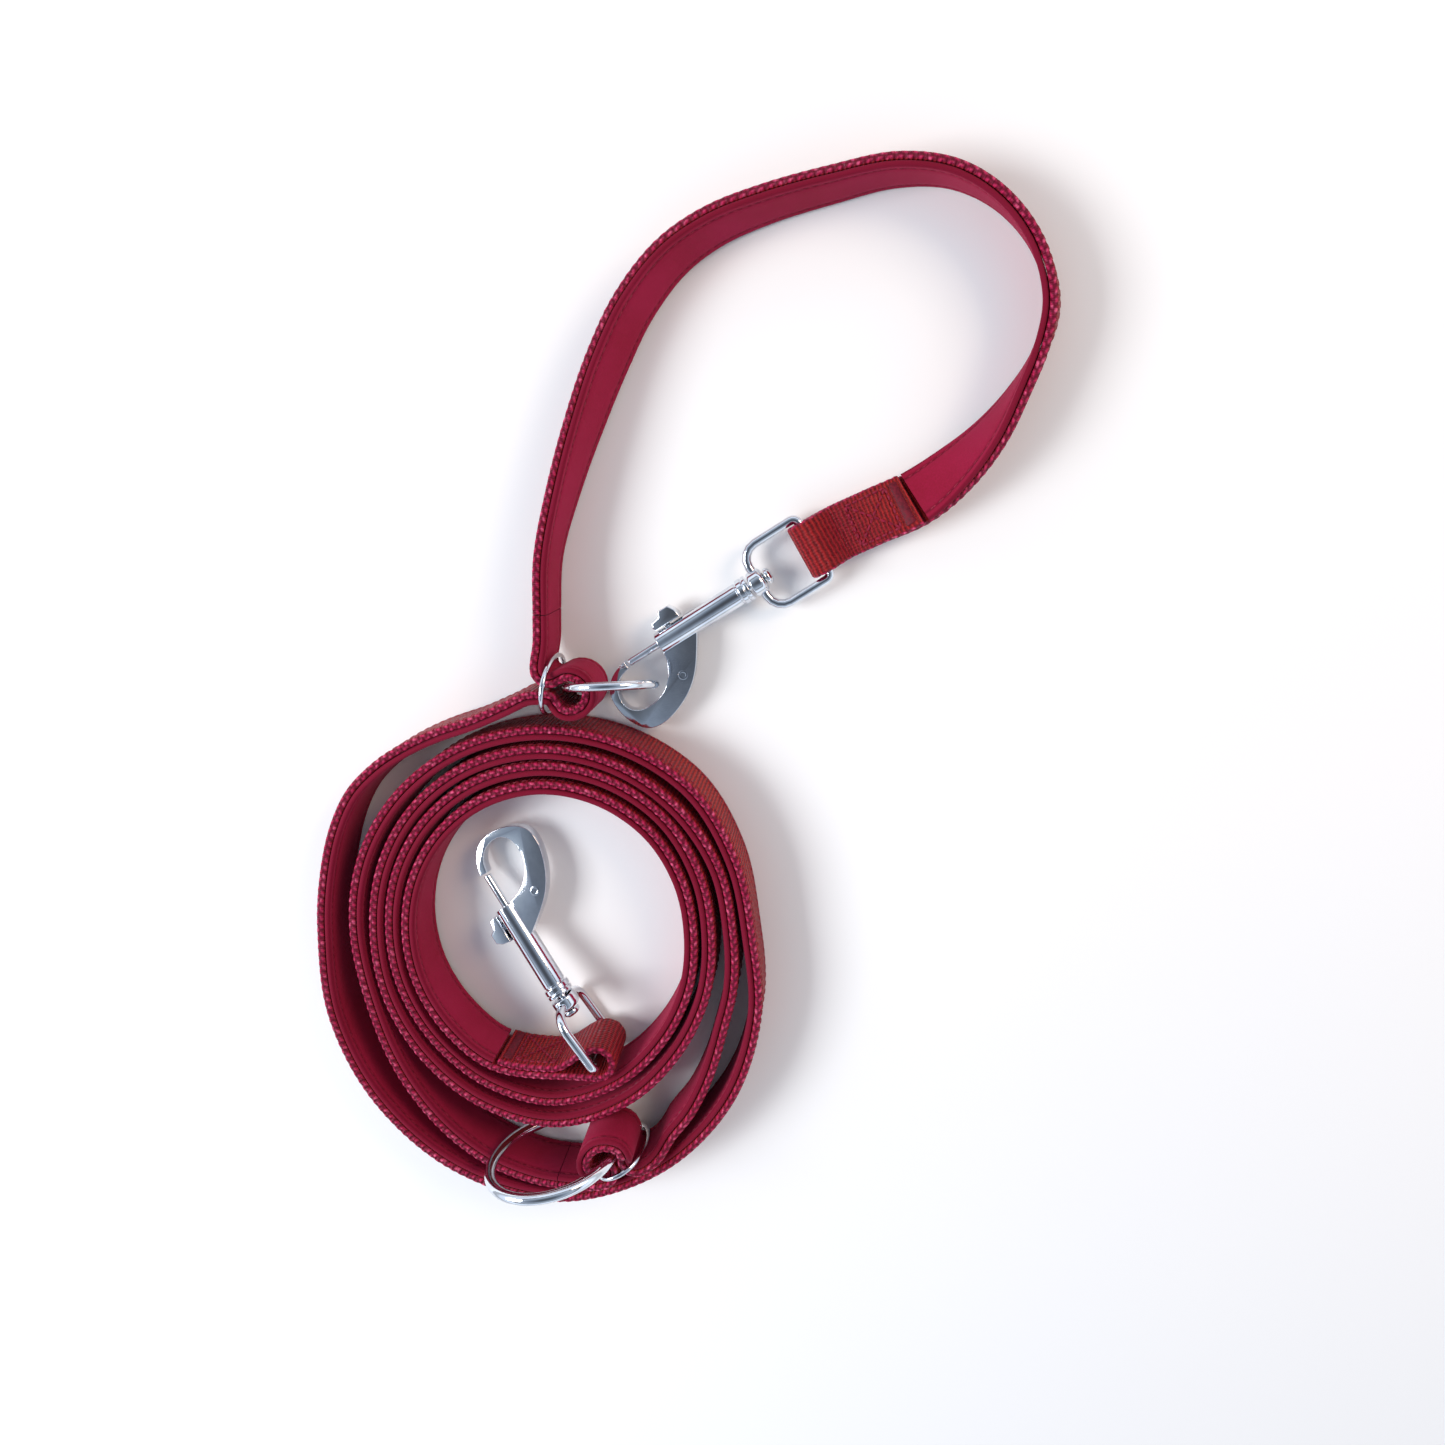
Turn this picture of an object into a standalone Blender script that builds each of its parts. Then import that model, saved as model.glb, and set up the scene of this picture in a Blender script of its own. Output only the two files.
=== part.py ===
"""Training leash: a lined webbing strap wound on edge into a flat coil, its last stretch a hand loop.

A thin ring gathers the strap into a small bight at two places, and each bight holds a larger ring.
Each end of the strap folds round the cross bar of a swivel snap hook.
Lengths below are in millimetres and are turned into metres when a mesh is made.
The strap stands on the plane z = 0, +X is across the coil and +Y runs towards the hand loop.
The layout is drawn about its own point and moved so that the middle of the whole base is the origin.
"""

import math

import bmesh
import bpy
from mathutils import Matrix, Vector

METRES = 0.001
BASE_CENTRE = (1.843, 0.156, -0.057)

# Strap
STRAP_WIDTH = 19.5
WEBBING_THICKNESS = 2.5
LINING_THICKNESS = 2.0
GAP = 0.3
STRAP_THICKNESS = WEBBING_THICKNESS + GAP + LINING_THICKNESS
WEBBING_OFFSET = (STRAP_THICKNESS - WEBBING_THICKNESS) / 2
LINING_OFFSET = -(STRAP_THICKNESS - LINING_THICKNESS) / 2
FLAP_OFFSET = WEBBING_OFFSET - WEBBING_THICKNESS - GAP
FLAP_LENGTH = 38.0
START_FOLD_RADIUS = 5.4
END_FOLD_RADIUS = 4.3
START_FLAP_BLEND = 16.0
END_FLAP_BLEND = 11.0
TACK_WIDTH = 15.0
TACK_THICKNESS = 0.5
TACK_LENGTH = 3.4
TACK_GAP = 0.45
LONGEST_STEP = 8.0
SHARPEST_STEP = math.radians(11)
SHARPEST_TWIST = math.radians(5)
CURVE_STEPS = 10

# Coil: the radius of the webbing's outer face at each eighth of a turn, clockwise from the bottom
COIL_CENTRE = (-43.5, -77.0)
EIGHTH_TURN = 45.0
INNER_COIL_RADII = (
    56.0, 53.6, 52.5, 53.6, 55.4, 54.6, 52.8, 57.5,
    65.4, 61.5, 58.7, 60.0, 62.1, 61.5, 59.0, 64.5,
    73.9, 69.0, 64.5, 66.0, 68.0, 67.5, 66.6,
)
OUTER_COIL_FIRST_EIGHTH = 2
OUTER_COIL_RADII = (71.8, 73.0, 74.7, 75.5, 73.2, 90.0, 103.5, 94.5, 83.6)

# Free parts of the route, chosen by hand: x, y, lift above the resting plane, lean in degrees.
# A lean of 90 lays the strap flat with its lining up.
START_ROUTE = ((-27.0, -127.9, 3.3, 0),)
COIL_TO_LOWER_BIGHT = (
    (20.5, -95.5, 0, 0), (16.8, -111.6, 0, 0), (11.7, -129.1, 0, 0), (5.2, -142.6, 1.0, 0),
    (-1.8, -151.4, 2.2, 0), (-6.0, -158.1, 3.4, 0), (-9.4, -161.4, 4.1, 0),
)
LOWER_BIGHT_TO_COIL = (
    (-28.5, -170.1, 3.6, 0), (-34.0, -171.0, 2.4, 0),
    (-43.0, -171.6, 1.2, 0), (-53.0, -170.6, 0.4, 0), (-68.6, -164.6, 0, 0), (-84.0, -152.4, 0, 0), (-97.3, -134.6, 0, 0),
    (-106.5, -112.8, 0, 0),
)
COIL_TO_UPPER_BIGHT = (
    (-122.6, -58.4, 0, 0), (-118.0, -40.8, 0, 0), (-111.2, -27.4, 0, 0), (-102.0, -18.2, 0, 0),
    (-91.5, -11.4, 0, 0), (-80.0, -6.0, 0.4, 0), (-66.0, -1.0, 1.6, 0), (-54.0, 4.4, 2.8, 0),
    (-46.5, 8.0, 3.6, 0),
)
UPPER_BIGHT_TO_END = (
    (-42.4, 20.6, 3.2, 0), (-41.8, 26.0, 1.8, 0), (-41.7, 36.0, 0.6, 0),
    (-40.6, 55.0, 0, 2), (-33.6, 80.0, 0, 10), (-25.6, 102.0, 0, 18), (-18.0, 120.0, 0, 23),
    (-9.0, 137.0, 0, 23), (3.6, 152.2, 0, 20), (17.6, 161.6, 0, 16), (35.0, 168.2, 0, 12),
    (56.0, 173.6, 0, 9), (76.5, 177.6, 0, 5), (94.6, 176.0, 0, -2), (110.0, 167.6, 0, -9),
    (121.4, 153.6, 0, -14), (126.2, 136.5, 0, -15), (122.8, 121.0, 0.2, -8), (115.2, 106.4, 0.5, 5),
    (106.6, 94.0, 0.8, 24), (96.0, 83.2, 1.1, 46), (83.6, 73.8, 1.3, 70), (69.8, 67.6, 1.3, 86),
    (59.1, 62.8, 1.3, 90), (50.1, 57.9, 1.3, 90),
)

# Bights: place and heading of the neck, radius and half width of the lobe ahead of it, lift in the lobe
NECK_SPREAD = 2.9
NECK_BEND = 4.0
NECK_LIFT = 4.1
RING_PAST_NECK = -0.25
POINTS_TO_JOIN = 2
LOWER_BIGHT = {"x": -20.4, "y": -162.4, "heading": 114.0, "radius": 6.3, "half_width": 7.8, "lift": 10.8,
               "turn_in": 78.0, "turn_out": 78.0}
UPPER_BIGHT = {"x": -39.3, "y": 11.6, "heading": -8.0, "radius": 6.8, "half_width": 6.8, "lift": 6.3,
               "turn_in": 24.0, "turn_out": 78.0}

# Rings: outer diameter and wire diameter
SMALL_RING = (28.0, 1.7)
SMALL_RING_SQUEEZE = 0.75
LOWER_RING = (48.0, 3.8)
UPPER_RING = (33.0, 3.0)
LOWER_RING_HEADING = 7.0
LOWER_RING_LEAN = 3.0
LOWER_RING_REACH = (-19.4, 0.3)
UPPER_RING_HEADING = 3.0
UPPER_RING_LEAN = 12.0
UPPER_RING_REACH = (12.2, 0.3)
RING_SEGMENTS = 36
RING_SIDES = 8

# Swivel snap hook; its own X runs from the swivel to the nose and its own Y to the belly of the hook
EYE_WIDTH = 20.4
EYE_WIRE = 3.2
EYE_LENGTH = 22.5
EYE_BAR_CORNER = 2.2
EYE_FRONT_CORNER = 6.0
BOSS_DIAMETER = 9.2
BOSS_LENGTH = 5.0
BOSS_BORE = 4.2
RIVET_SHAFT = 2.6
RIVET_HEAD = (5.8, 2.0)
COLLAR_START = 3.4
COLLAR_LENGTH = 3.6
COLLAR_DIAMETER = 9.2
GROOVE_LENGTH = 0.8
BARREL_DIAMETER = 8.0
BARREL_FRONT = 40.5
REAR_BORE = (3.2, 4.8)
BOLT_BORE_DIAMETER = 3.8
BOLT_BORE_START = 9.8
BOLT_DIAMETER = 2.8
BOLT_REAR = 26.0
BOLT_TIP = 53.4
BOLT_TRAVEL = 9.0
SLOT_WIDTH = 2.4
STEM_CENTRE = 34.4
STEM_LENGTH = 2.4
STEM_THICKNESS = 1.8
SLOT_CLEARANCE = 0.4
KNOB_THICKNESS = 5.0
HOOK_THICKNESS = 4.4
SPRING_WIRE = 0.5
SPRING_DIAMETER = 3.1
SPRING_TURNS = 7
ROUND_SEGMENTS = 24

# Outline of the hook ahead of the barrel's front: along the barrel, then towards the belly
HOOK_OUTLINE = (
    (-14.0, 2.5), (-11.6, 6.3), (-7.1, 12.6), (-2.5, 17.4), (3.5, 21.2), (11.0, 23.8), (17.0, 23.9),
    (21.0, 21.6), (23.8, 17.0), (25.0, 11.5), (24.6, 6.5), (22.4, 2.7), (18.5, 0.0), (13.8, -1.5),
    (13.7, 1.5), (17.6, 2.6), (20.5, 4.9), (22.2, 9.0), (21.6, 13.2), (18.6, 15.8), (14.6, 16.4),
    (9.5, 15.6), (5.0, 12.6), (1.7, 8.0), (0.2, 3.1), (-2.0, 2.5),
)
HOOK_CORNERS = (0, 13, 14, 24, 25)
# Thumb knob in the same directions, measured from the stem's centre
KNOB_OUTLINE = (
    (-5.6, -4.5), (4.4, -4.5), (5.0, -5.6), (4.4, -7.4), (1.2, -8.0), (0.2, -9.8), (-3.6, -9.8),
    (-5.0, -7.6),
)

# Where the two snap hooks lie: cross bar centre, heading, droop at the swivel, side of the belly
END_SNAP = {"prefix": "handle", "bar": (49.9, 57.8, 6.5), "heading": 212.0, "droop": 0.0, "belly": 1,
            "bar_upright": False}
START_SNAP = {"prefix": "coil", "bar": (-27.0, -123.9, 13.4), "heading": 124.0, "droop": 8.0, "belly": -1,
              "bar_upright": True}

WEBBING_COLOUR = (0.36, 0.02, 0.055)
LINING_COLOUR = (0.33, 0.02, 0.07)
THREAD_COLOUR = (0.22, 0.01, 0.03)
CHROME_COLOUR = (0.80, 0.82, 0.85)


# ---------------------------------------------------------------- scene and materials
def clear_scene():
    for old in list(bpy.data.objects):
        bpy.data.objects.remove(old, do_unlink=True)


def make_material(name, colour, roughness, metallic):
    material = bpy.data.materials.new(name)
    material.use_nodes = True
    shader = material.node_tree.nodes["Principled BSDF"]
    shader.inputs["Base Color"].default_value = (*colour, 1.0)
    shader.inputs["Roughness"].default_value = roughness
    shader.inputs["Metallic"].default_value = metallic
    return material


def add_object(name, mesh_data, material, smooth=True, origin=Vector()):
    """Turns a bmesh drawn in millimetres into an object whose origin is the given point."""
    bmesh.ops.translate(mesh_data, verts=mesh_data.verts, vec=-Vector(origin))
    bmesh.ops.scale(mesh_data, verts=mesh_data.verts, vec=(METRES, METRES, METRES))
    bmesh.ops.recalc_face_normals(mesh_data, faces=mesh_data.faces)
    mesh = bpy.data.meshes.new(name)
    mesh_data.to_mesh(mesh)
    mesh_data.free()
    if smooth:
        mesh.shade_smooth()
        mesh.set_sharp_from_angle(angle=math.radians(35))
    mesh.materials.append(material)
    thing = bpy.data.objects.new(name, mesh)
    thing.location = (Vector(origin) - Vector(BASE_CENTRE)) * METRES
    bpy.context.collection.objects.link(thing)
    return thing


def combine(target, operand, operation):
    """Adds or cuts another object; the other object is only a guide."""
    modifier = target.modifiers.new(operation.title(), "BOOLEAN")
    modifier.operation = operation
    modifier.object = operand
    operand.hide_render = True
    operand.display_type = "WIRE"


# ---------------------------------------------------------------- route of the strap
def catmull_rom(p0, p1, p2, p3, t):
    return [
        0.5 * (2 * b + (c - a) * t + (2 * a - 5 * b + 4 * c - d) * t * t + (3 * b - a - 3 * c + d) * t ** 3)
        for a, b, c, d in zip(p0, p1, p2, p3)
    ]


def mix(a, b, start, end, time):
    share = (time - start) / (end - start)
    return [x + (y - x) * share for x, y in zip(a, b)]


def smooth_route(points, i, t):
    """A point between route points i and i + 1, on a curve that stays even where their spacing changes."""
    last = len(points) - 1
    near = [points[i - 1] if i else [2 * a - b for a, b in zip(points[0], points[1])], points[i], points[i + 1],
            points[i + 2] if i + 1 < last else [2 * a - b for a, b in zip(points[last], points[last - 1])]]
    knots = [0.0]
    for a, b in zip(near, near[1:]):
        knots.append(knots[-1] + math.sqrt(math.hypot(b[0] - a[0], b[1] - a[1])))
    time = knots[1] + (knots[2] - knots[1]) * t
    first = [mix(near[k], near[k + 1], knots[k], knots[k + 1], time) for k in range(3)]
    second = [mix(first[k], first[k + 1], knots[k], knots[k + 2], time) for k in range(2)]
    return mix(second[0], second[1], knots[1], knots[2], time)


def coil_route(radii, first_eighth):
    """Points at each 22.5 degrees of a coil, on the middle of the strap."""
    points = []
    for half in range(2 * len(radii) - 1):
        turn = half / 2
        whole = min(int(turn), len(radii) - 2)
        near = [(radii[min(max(whole + k, 0), len(radii) - 1)],) for k in (-1, 0, 1, 2)]
        radius = catmull_rom(*near, turn - whole)[0] - STRAP_THICKNESS / 2
        angle = math.radians(-90 - EIGHTH_TURN * (first_eighth + turn))
        x = COIL_CENTRE[0] + radius * math.cos(angle)
        y = COIL_CENTRE[1] + radius * math.sin(angle)
        points.append((x, y, 0.0, 0.0))
    return points


def directions(heading):
    """The unit vector along a heading in degrees, and the one to its left."""
    angle = math.radians(heading)
    return Vector((math.cos(angle), math.sin(angle), 0)), Vector((-math.sin(angle), math.cos(angle), 0))


def lobe_reach(bight):
    """How far ahead of the neck the lobe's centre lies, so that the bends run into each other."""
    return math.sqrt((bight["radius"] + NECK_BEND) ** 2 - (NECK_SPREAD + NECK_BEND) ** 2)


def neck_bend(angle, side):
    """A point on the bend that leads one strand through the neck, ahead and to the left of the neck."""
    turn = math.radians(angle)
    return NECK_BEND * math.sin(turn), side * (NECK_SPREAD + NECK_BEND * (1 - math.cos(turn)))


def bight_route(bight):
    """In through the neck, round the lobe with the webbing inside, and out through the neck."""
    along, left = directions(bight["heading"])
    radius, ahead = bight["radius"], lobe_reach(bight)
    mouth = math.atan2(NECK_SPREAD + NECK_BEND, ahead)
    half_bend = math.degrees(math.pi / 2 - mouth) / 2
    turn_in, turn_out = bight["turn_in"], bight["turn_out"]
    steps = 8
    local = [(*neck_bend(angle, -1), 0.0) for angle in (-turn_in, -turn_in * 2 / 3, -turn_in / 3, 0.0, half_bend)]
    for step in range(steps + 1):
        angle = math.pi + mouth + (2 * math.pi - 2 * mouth) * step / steps
        rise = min(1.0, 0.35 + 2.2 * math.sin(math.pi * step / steps))
        side = radius + (bight["half_width"] - radius) * abs(math.sin(angle))
        local.append((ahead + radius * math.cos(angle), side * math.sin(angle), rise))
    local += [(*neck_bend(angle, 1), 0.0) for angle in (half_bend, 0.0, -turn_out / 3, -turn_out * 2 / 3, -turn_out)]
    points = []
    for u, v, rise in local:
        place = Vector((bight["x"], bight["y"], 0)) + along * u + left * v
        points.append((place.x, place.y, NECK_LIFT + (bight["lift"] - NECK_LIFT) * rise, 0.0))
    return points


def lobe_centre(bight):
    along, _ = directions(bight["heading"])
    return Vector((bight["x"], bight["y"], 0)) + along * lobe_reach(bight)


def settle(points):
    """Lets the lifted start of the coil come down to the resting plane over its first quarter turn."""
    first = START_ROUTE[0][2]
    falling = 5
    return [
        (x, y, first * (1 - (i + 1) / falling) if i + 1 < falling else lift, lean)
        for i, (x, y, lift, lean) in enumerate(points)
    ]


def strap_route():
    """All route points, and the numbers of the two points where the strap is divided into lengths."""
    inner = list(START_ROUTE) + settle(coil_route(INNER_COIL_RADII, 0)[1:]) + list(COIL_TO_LOWER_BIGHT)
    inner += bight_route(LOWER_BIGHT)
    outer = list(LOWER_BIGHT_TO_COIL) + coil_route(OUTER_COIL_RADII, OUTER_COIL_FIRST_EIGHTH)
    outer += list(COIL_TO_UPPER_BIGHT) + bight_route(UPPER_BIGHT)
    points = inner + outer + list(UPPER_BIGHT_TO_END)
    return points, (len(inner) + POINTS_TO_JOIN, len(inner) + len(outer) + POINTS_TO_JOIN)


class Route:
    """A smooth curve through the route points, read by the length along it."""

    def __init__(self):
        points, joins = strap_route()
        samples = []
        self.joins = []
        for i in range(len(points) - 1):
            if i in joins:
                self.joins.append(len(samples))
            samples += [smooth_route(points, i, step / CURVE_STEPS) for step in range(CURVE_STEPS)]
        samples.append(points[-1])
        self.places = []
        for x, y, lift, lean in samples:
            tilt = math.radians(lean)
            height = math.cos(tilt) * STRAP_WIDTH / 2 + abs(math.sin(tilt)) * STRAP_THICKNESS / 2 + lift
            self.places.append((Vector((x, y, height)), tilt))
        self.lengths = [0.0]
        for (a, _), (b, _) in zip(self.places, self.places[1:]):
            self.lengths.append(self.lengths[-1] + (b - a).length)
        self.length = self.lengths[-1]
        self.joins = [self.lengths[index] for index in self.joins]
        self.stops = self.find_stops()

    def locate(self, distance):
        distance = min(max(distance, 0.0), self.length)
        low, high = 0, len(self.lengths) - 1
        while high - low > 1:
            middle = (low + high) // 2
            if self.lengths[middle] <= distance:
                low = middle
            else:
                high = middle
        share = (distance - self.lengths[low]) / (self.lengths[high] - self.lengths[low])
        return low, share

    def frame(self, distance):
        """Place, forward, left (the webbing's side) and the direction across the strap's width."""
        low, share = self.locate(distance)
        (a, tilt_a), (b, tilt_b) = self.places[low], self.places[low + 1]
        place = a.lerp(b, share)
        before = self.places[max(low - 1, 0)][0]
        after = self.places[min(low + 2, len(self.places) - 1)][0]
        forward = ((b - a) * 2 + (a - before) * (1 - share) + (after - b) * share).normalized()
        flat_left = Vector((-forward.y, forward.x, 0)).normalized()
        tilt = tilt_a + (tilt_b - tilt_a) * share
        across = Vector((0, 0, 1)) * math.cos(tilt) + flat_left * math.sin(tilt)
        left = across.cross(forward).normalized()
        return place, forward, left, across

    def find_stops(self):
        """Distances of the cross-sections, close together where the strap bends sharply."""
        stops = [0.0]
        _, last_heading, _, last_across = self.frame(0.0)
        step = 0.4
        for i in range(1, int(self.length / step)):
            distance = i * step
            _, heading, _, across = self.frame(distance)
            bent = heading.angle(last_heading) > SHARPEST_STEP or across.angle(last_across) > SHARPEST_TWIST
            if bent or distance - stops[-1] > LONGEST_STEP:
                stops.append(distance)
                last_heading, last_across = heading, across
        return stops


# ---------------------------------------------------------------- strap solids
def offset_path(route, start, end, offset):
    path = []
    between = [stop for stop in route.stops if start + 0.6 < stop < end - 0.6]
    for distance in [start] + between + [end]:
        place, _, left, across = route.frame(distance)
        path.append((place + left * offset, across))
    return path


def smooth_share(value):
    value = min(max(value, 0.0), 1.0)
    return value * value * (3 - 2 * value)


def fold_path(route, at_start, radius, blend):
    """The fold round the cross bar and the flap behind it, from the bar outwards."""
    bar_end = 0.0 if at_start else route.length
    inward = 1 if at_start else -1
    place, forward, left, across = route.frame(bar_end)
    outward = -forward * inward
    centre = place + left * (WEBBING_OFFSET - radius)
    path = []
    for step in range(1, 10):
        angle = math.pi * step / 9
        path.append((centre + (left * math.cos(angle) + outward * math.sin(angle)) * radius, across))
    for distance in range(3, int(FLAP_LENGTH) + 1, 3):
        place, _, left, across = route.frame(bar_end + inward * distance)
        share = smooth_share(distance / blend)
        offset = (WEBBING_OFFSET - 2 * radius) * (1 - share) + FLAP_OFFSET * share
        path.append((place + left * offset, across))
    return path


def strip(name, path, width, thickness, material):
    """A flat strip swept along a path of places and width directions."""
    mesh = bmesh.new()
    rows = []
    for i, (place, across) in enumerate(path):
        before = path[max(i - 1, 0)][0]
        after = path[min(i + 1, len(path) - 1)][0]
        left = across.cross(after - before).normalized()
        corners = ((-1, -1), (1, -1), (1, 1), (-1, 1))
        rows.append([
            mesh.verts.new(place + left * thickness / 2 * u + across * width / 2 * v) for u, v in corners
        ])
    for row, next_row in zip(rows, rows[1:]):
        for k in range(4):
            a, b, c, d = row[k], row[(k + 1) % 4], next_row[(k + 1) % 4], next_row[k]
            split = ((a, b, d), (b, c, d)) if k == 3 else ((a, b, c), (a, c, d))
            for corners in split:
                mesh.faces.new(corners)
    mesh.faces.new(rows[0])
    mesh.faces.new(reversed(rows[-1]))
    return add_object(name, mesh, material)


def build_strap(webbing, lining, thread):
    route = Route()
    first_join, second_join = route.joins
    start_fold = fold_path(route, True, START_FOLD_RADIUS, START_FLAP_BLEND)
    end_fold = fold_path(route, False, END_FOLD_RADIUS, END_FLAP_BLEND)
    lengths = (
        ("inner_coil", 0.0, first_join), ("outer_coil", first_join + GAP, second_join),
        ("handle", second_join + GAP, route.length),
    )
    for name, start, end in lengths:
        path = offset_path(route, start, end, WEBBING_OFFSET)
        if start == 0.0:
            path = start_fold[::-1] + path
        if end == route.length:
            path = path + end_fold
        strip(name + "_webbing", path, STRAP_WIDTH, WEBBING_THICKNESS, webbing)
        lining_start = start if start else FLAP_LENGTH
        lining_end = end if end < route.length else route.length - FLAP_LENGTH
        path = offset_path(route, lining_start, lining_end, LINING_OFFSET)
        strip(name + "_lining", path, STRAP_WIDTH, LINING_THICKNESS, lining)
    tack_offset = FLAP_OFFSET - WEBBING_THICKNESS / 2 - TACK_GAP - TACK_THICKNESS / 2
    inset = 3.0
    near, far = FLAP_LENGTH - inset - TACK_LENGTH, FLAP_LENGTH - inset
    strip("coil_end_bar_tack", offset_path(route, near, far, tack_offset), TACK_WIDTH, TACK_THICKNESS, thread)
    path = offset_path(route, route.length - far, route.length - near, tack_offset)
    strip("handle_end_bar_tack", path, TACK_WIDTH, TACK_THICKNESS, thread)


# ---------------------------------------------------------------- rings
def build_ring(name, size, centre, heading, lean, material, squeeze=1.0):
    """A round wire ring standing on edge; its plane holds the heading and leans to the heading's left."""
    outer, wire = size
    run, aside = directions(heading)
    tilt = math.radians(lean)
    rise = Vector((0, 0, 1)) * math.cos(tilt) + aside * math.sin(tilt)
    normal = run.cross(rise)
    middle_radius = (outer - wire) / 2
    mesh = bmesh.new()
    rows = []
    for i in range(RING_SEGMENTS):
        turn = 2 * math.pi * i / RING_SEGMENTS
        radial = run * (squeeze * math.cos(turn)) + rise * math.sin(turn)
        row = []
        for k in range(RING_SIDES):
            angle = 2 * math.pi * (k + 0.5) / RING_SIDES
            reach = middle_radius + wire / 2 * math.cos(angle)
            row.append(mesh.verts.new(centre + radial * reach + normal * (wire / 2 * math.sin(angle))))
        rows.append(row)
    for i in range(RING_SEGMENTS):
        row, next_row = rows[i], rows[(i + 1) % RING_SEGMENTS]
        for k in range(RING_SIDES):
            mesh.faces.new((row[k], row[(k + 1) % RING_SIDES], next_row[(k + 1) % RING_SIDES], next_row[k]))
    return add_object(name, mesh, material, origin=centre)


def build_rings(chrome):
    for name, bight in (("lower_small_ring", LOWER_BIGHT), ("upper_small_ring", UPPER_BIGHT)):
        centre = Vector((bight["x"], bight["y"], 0)) + directions(bight["heading"])[0] * RING_PAST_NECK
        centre.z = SMALL_RING[0] / 2 + 0.05
        build_ring(name, SMALL_RING, centre, bight["heading"] - 90, 0, chrome,
                   SMALL_RING_SQUEEZE)
    places = (
        ("lower_large_ring", LOWER_RING, LOWER_BIGHT, LOWER_RING_HEADING, LOWER_RING_LEAN, LOWER_RING_REACH),
        ("upper_large_ring", UPPER_RING, UPPER_BIGHT, UPPER_RING_HEADING, UPPER_RING_LEAN, UPPER_RING_REACH),
    )
    for name, size, bight, heading, lean, reach in places:
        run, aside = directions(heading)
        centre = lobe_centre(bight) + run * reach[0] + aside * reach[1]
        middle_radius = (size[0] - size[1]) / 2
        centre.z = middle_radius * math.cos(math.radians(lean)) + size[1] / 2 + 0.05
        build_ring(name, size, centre, heading, lean, chrome)


# ---------------------------------------------------------------- snap hook
def turned(profile, frame, name, material, origin):
    """A closed profile of (along X, radius) pairs turned round the frame's X axis."""
    mesh = bmesh.new()
    rows = []
    for i in range(ROUND_SEGMENTS):
        angle = 2 * math.pi * i / ROUND_SEGMENTS
        side = Vector((0, math.cos(angle), math.sin(angle)))
        row = []
        for along, radius in profile:
            if radius:
                row.append(mesh.verts.new(frame @ (Vector((along, 0, 0)) + side * radius)))
            else:
                row.append(rows[0][len(row)] if rows else mesh.verts.new(frame @ Vector((along, 0, 0))))
        rows.append(row)
    count = len(profile)
    for i in range(ROUND_SEGMENTS):
        row, next_row = rows[i], rows[(i + 1) % ROUND_SEGMENTS]
        for k in range(count):
            corners = [row[k], row[(k + 1) % count], next_row[(k + 1) % count], next_row[k]]
            unique = list(dict.fromkeys(corners))
            if len(unique) > 2:
                mesh.faces.new(unique)
    return add_object(name, mesh, material, origin=origin)


def extruded(outline, thickness, frame, name, material, origin):
    """A flat outline in the frame's XY plane, thickened evenly to both sides."""
    mesh = bmesh.new()
    low = [mesh.verts.new(frame @ Vector((x, y, -thickness / 2))) for x, y in outline]
    high = [mesh.verts.new(frame @ Vector((x, y, thickness / 2))) for x, y in outline]
    mesh.faces.new(low)
    mesh.faces.new(high)
    for k in range(len(outline)):
        n = (k + 1) % len(outline)
        mesh.faces.new((low[k], low[n], high[n], high[k]))
    return add_object(name, mesh, material, origin=origin)


def box(low, high, frame, name, material, origin):
    outline = ((low[0], low[1]), (high[0], low[1]), (high[0], high[1]), (low[0], high[1]))
    shift = Matrix.Translation((0, 0, (low[2] + high[2]) / 2))
    return extruded(outline, high[2] - low[2], frame @ shift, name, material, origin)


def rounded_outline(points, corners, steps):
    """A smooth closed outline through the points that keeps the numbered points as corners."""
    count = len(points)
    outline = []
    for i in range(count):
        p1, p2 = points[i], points[(i + 1) % count]
        p0 = p1 if i in corners else points[i - 1]
        p3 = p2 if (i + 1) % count in corners else points[(i + 2) % count]
        parts = 1 if i in corners and (i + 1) % count in corners else steps
        outline += [catmull_rom(p0, p1, p2, p3, step / parts) for step in range(parts)]
    return outline


def wire_loop(path, wire, frame, name, material, origin):
    """A round wire bent along a closed flat path in the frame's XZ plane."""
    mesh = bmesh.new()
    rows = []
    count = len(path)
    for i in range(count):
        place = Vector((path[i][0], 0, path[i][1]))
        before = Vector((path[i - 1][0], 0, path[i - 1][1]))
        after = Vector((path[(i + 1) % count][0], 0, path[(i + 1) % count][1]))
        run_in, run_out = (place - before).normalized(), (after - place).normalized()
        forward = (run_in + run_out).normalized()
        stretch = 1 / max(forward.dot(run_in), 0.5)
        side = Vector((0, 1, 0)).cross(forward)
        row = []
        for k in range(RING_SIDES):
            angle = 2 * math.pi * (k + 0.5) / RING_SIDES
            spot = place + side * (wire / 2 * math.cos(angle) * stretch)
            row.append(mesh.verts.new(frame @ (spot + Vector((0, wire / 2 * math.sin(angle), 0)))))
        rows.append(row)
    for i in range(count):
        row, next_row = rows[i], rows[(i + 1) % count]
        for k in range(RING_SIDES):
            mesh.faces.new((row[k], row[(k + 1) % RING_SIDES], next_row[(k + 1) % RING_SIDES], next_row[k]))
    return add_object(name, mesh, material, origin=origin)


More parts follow.
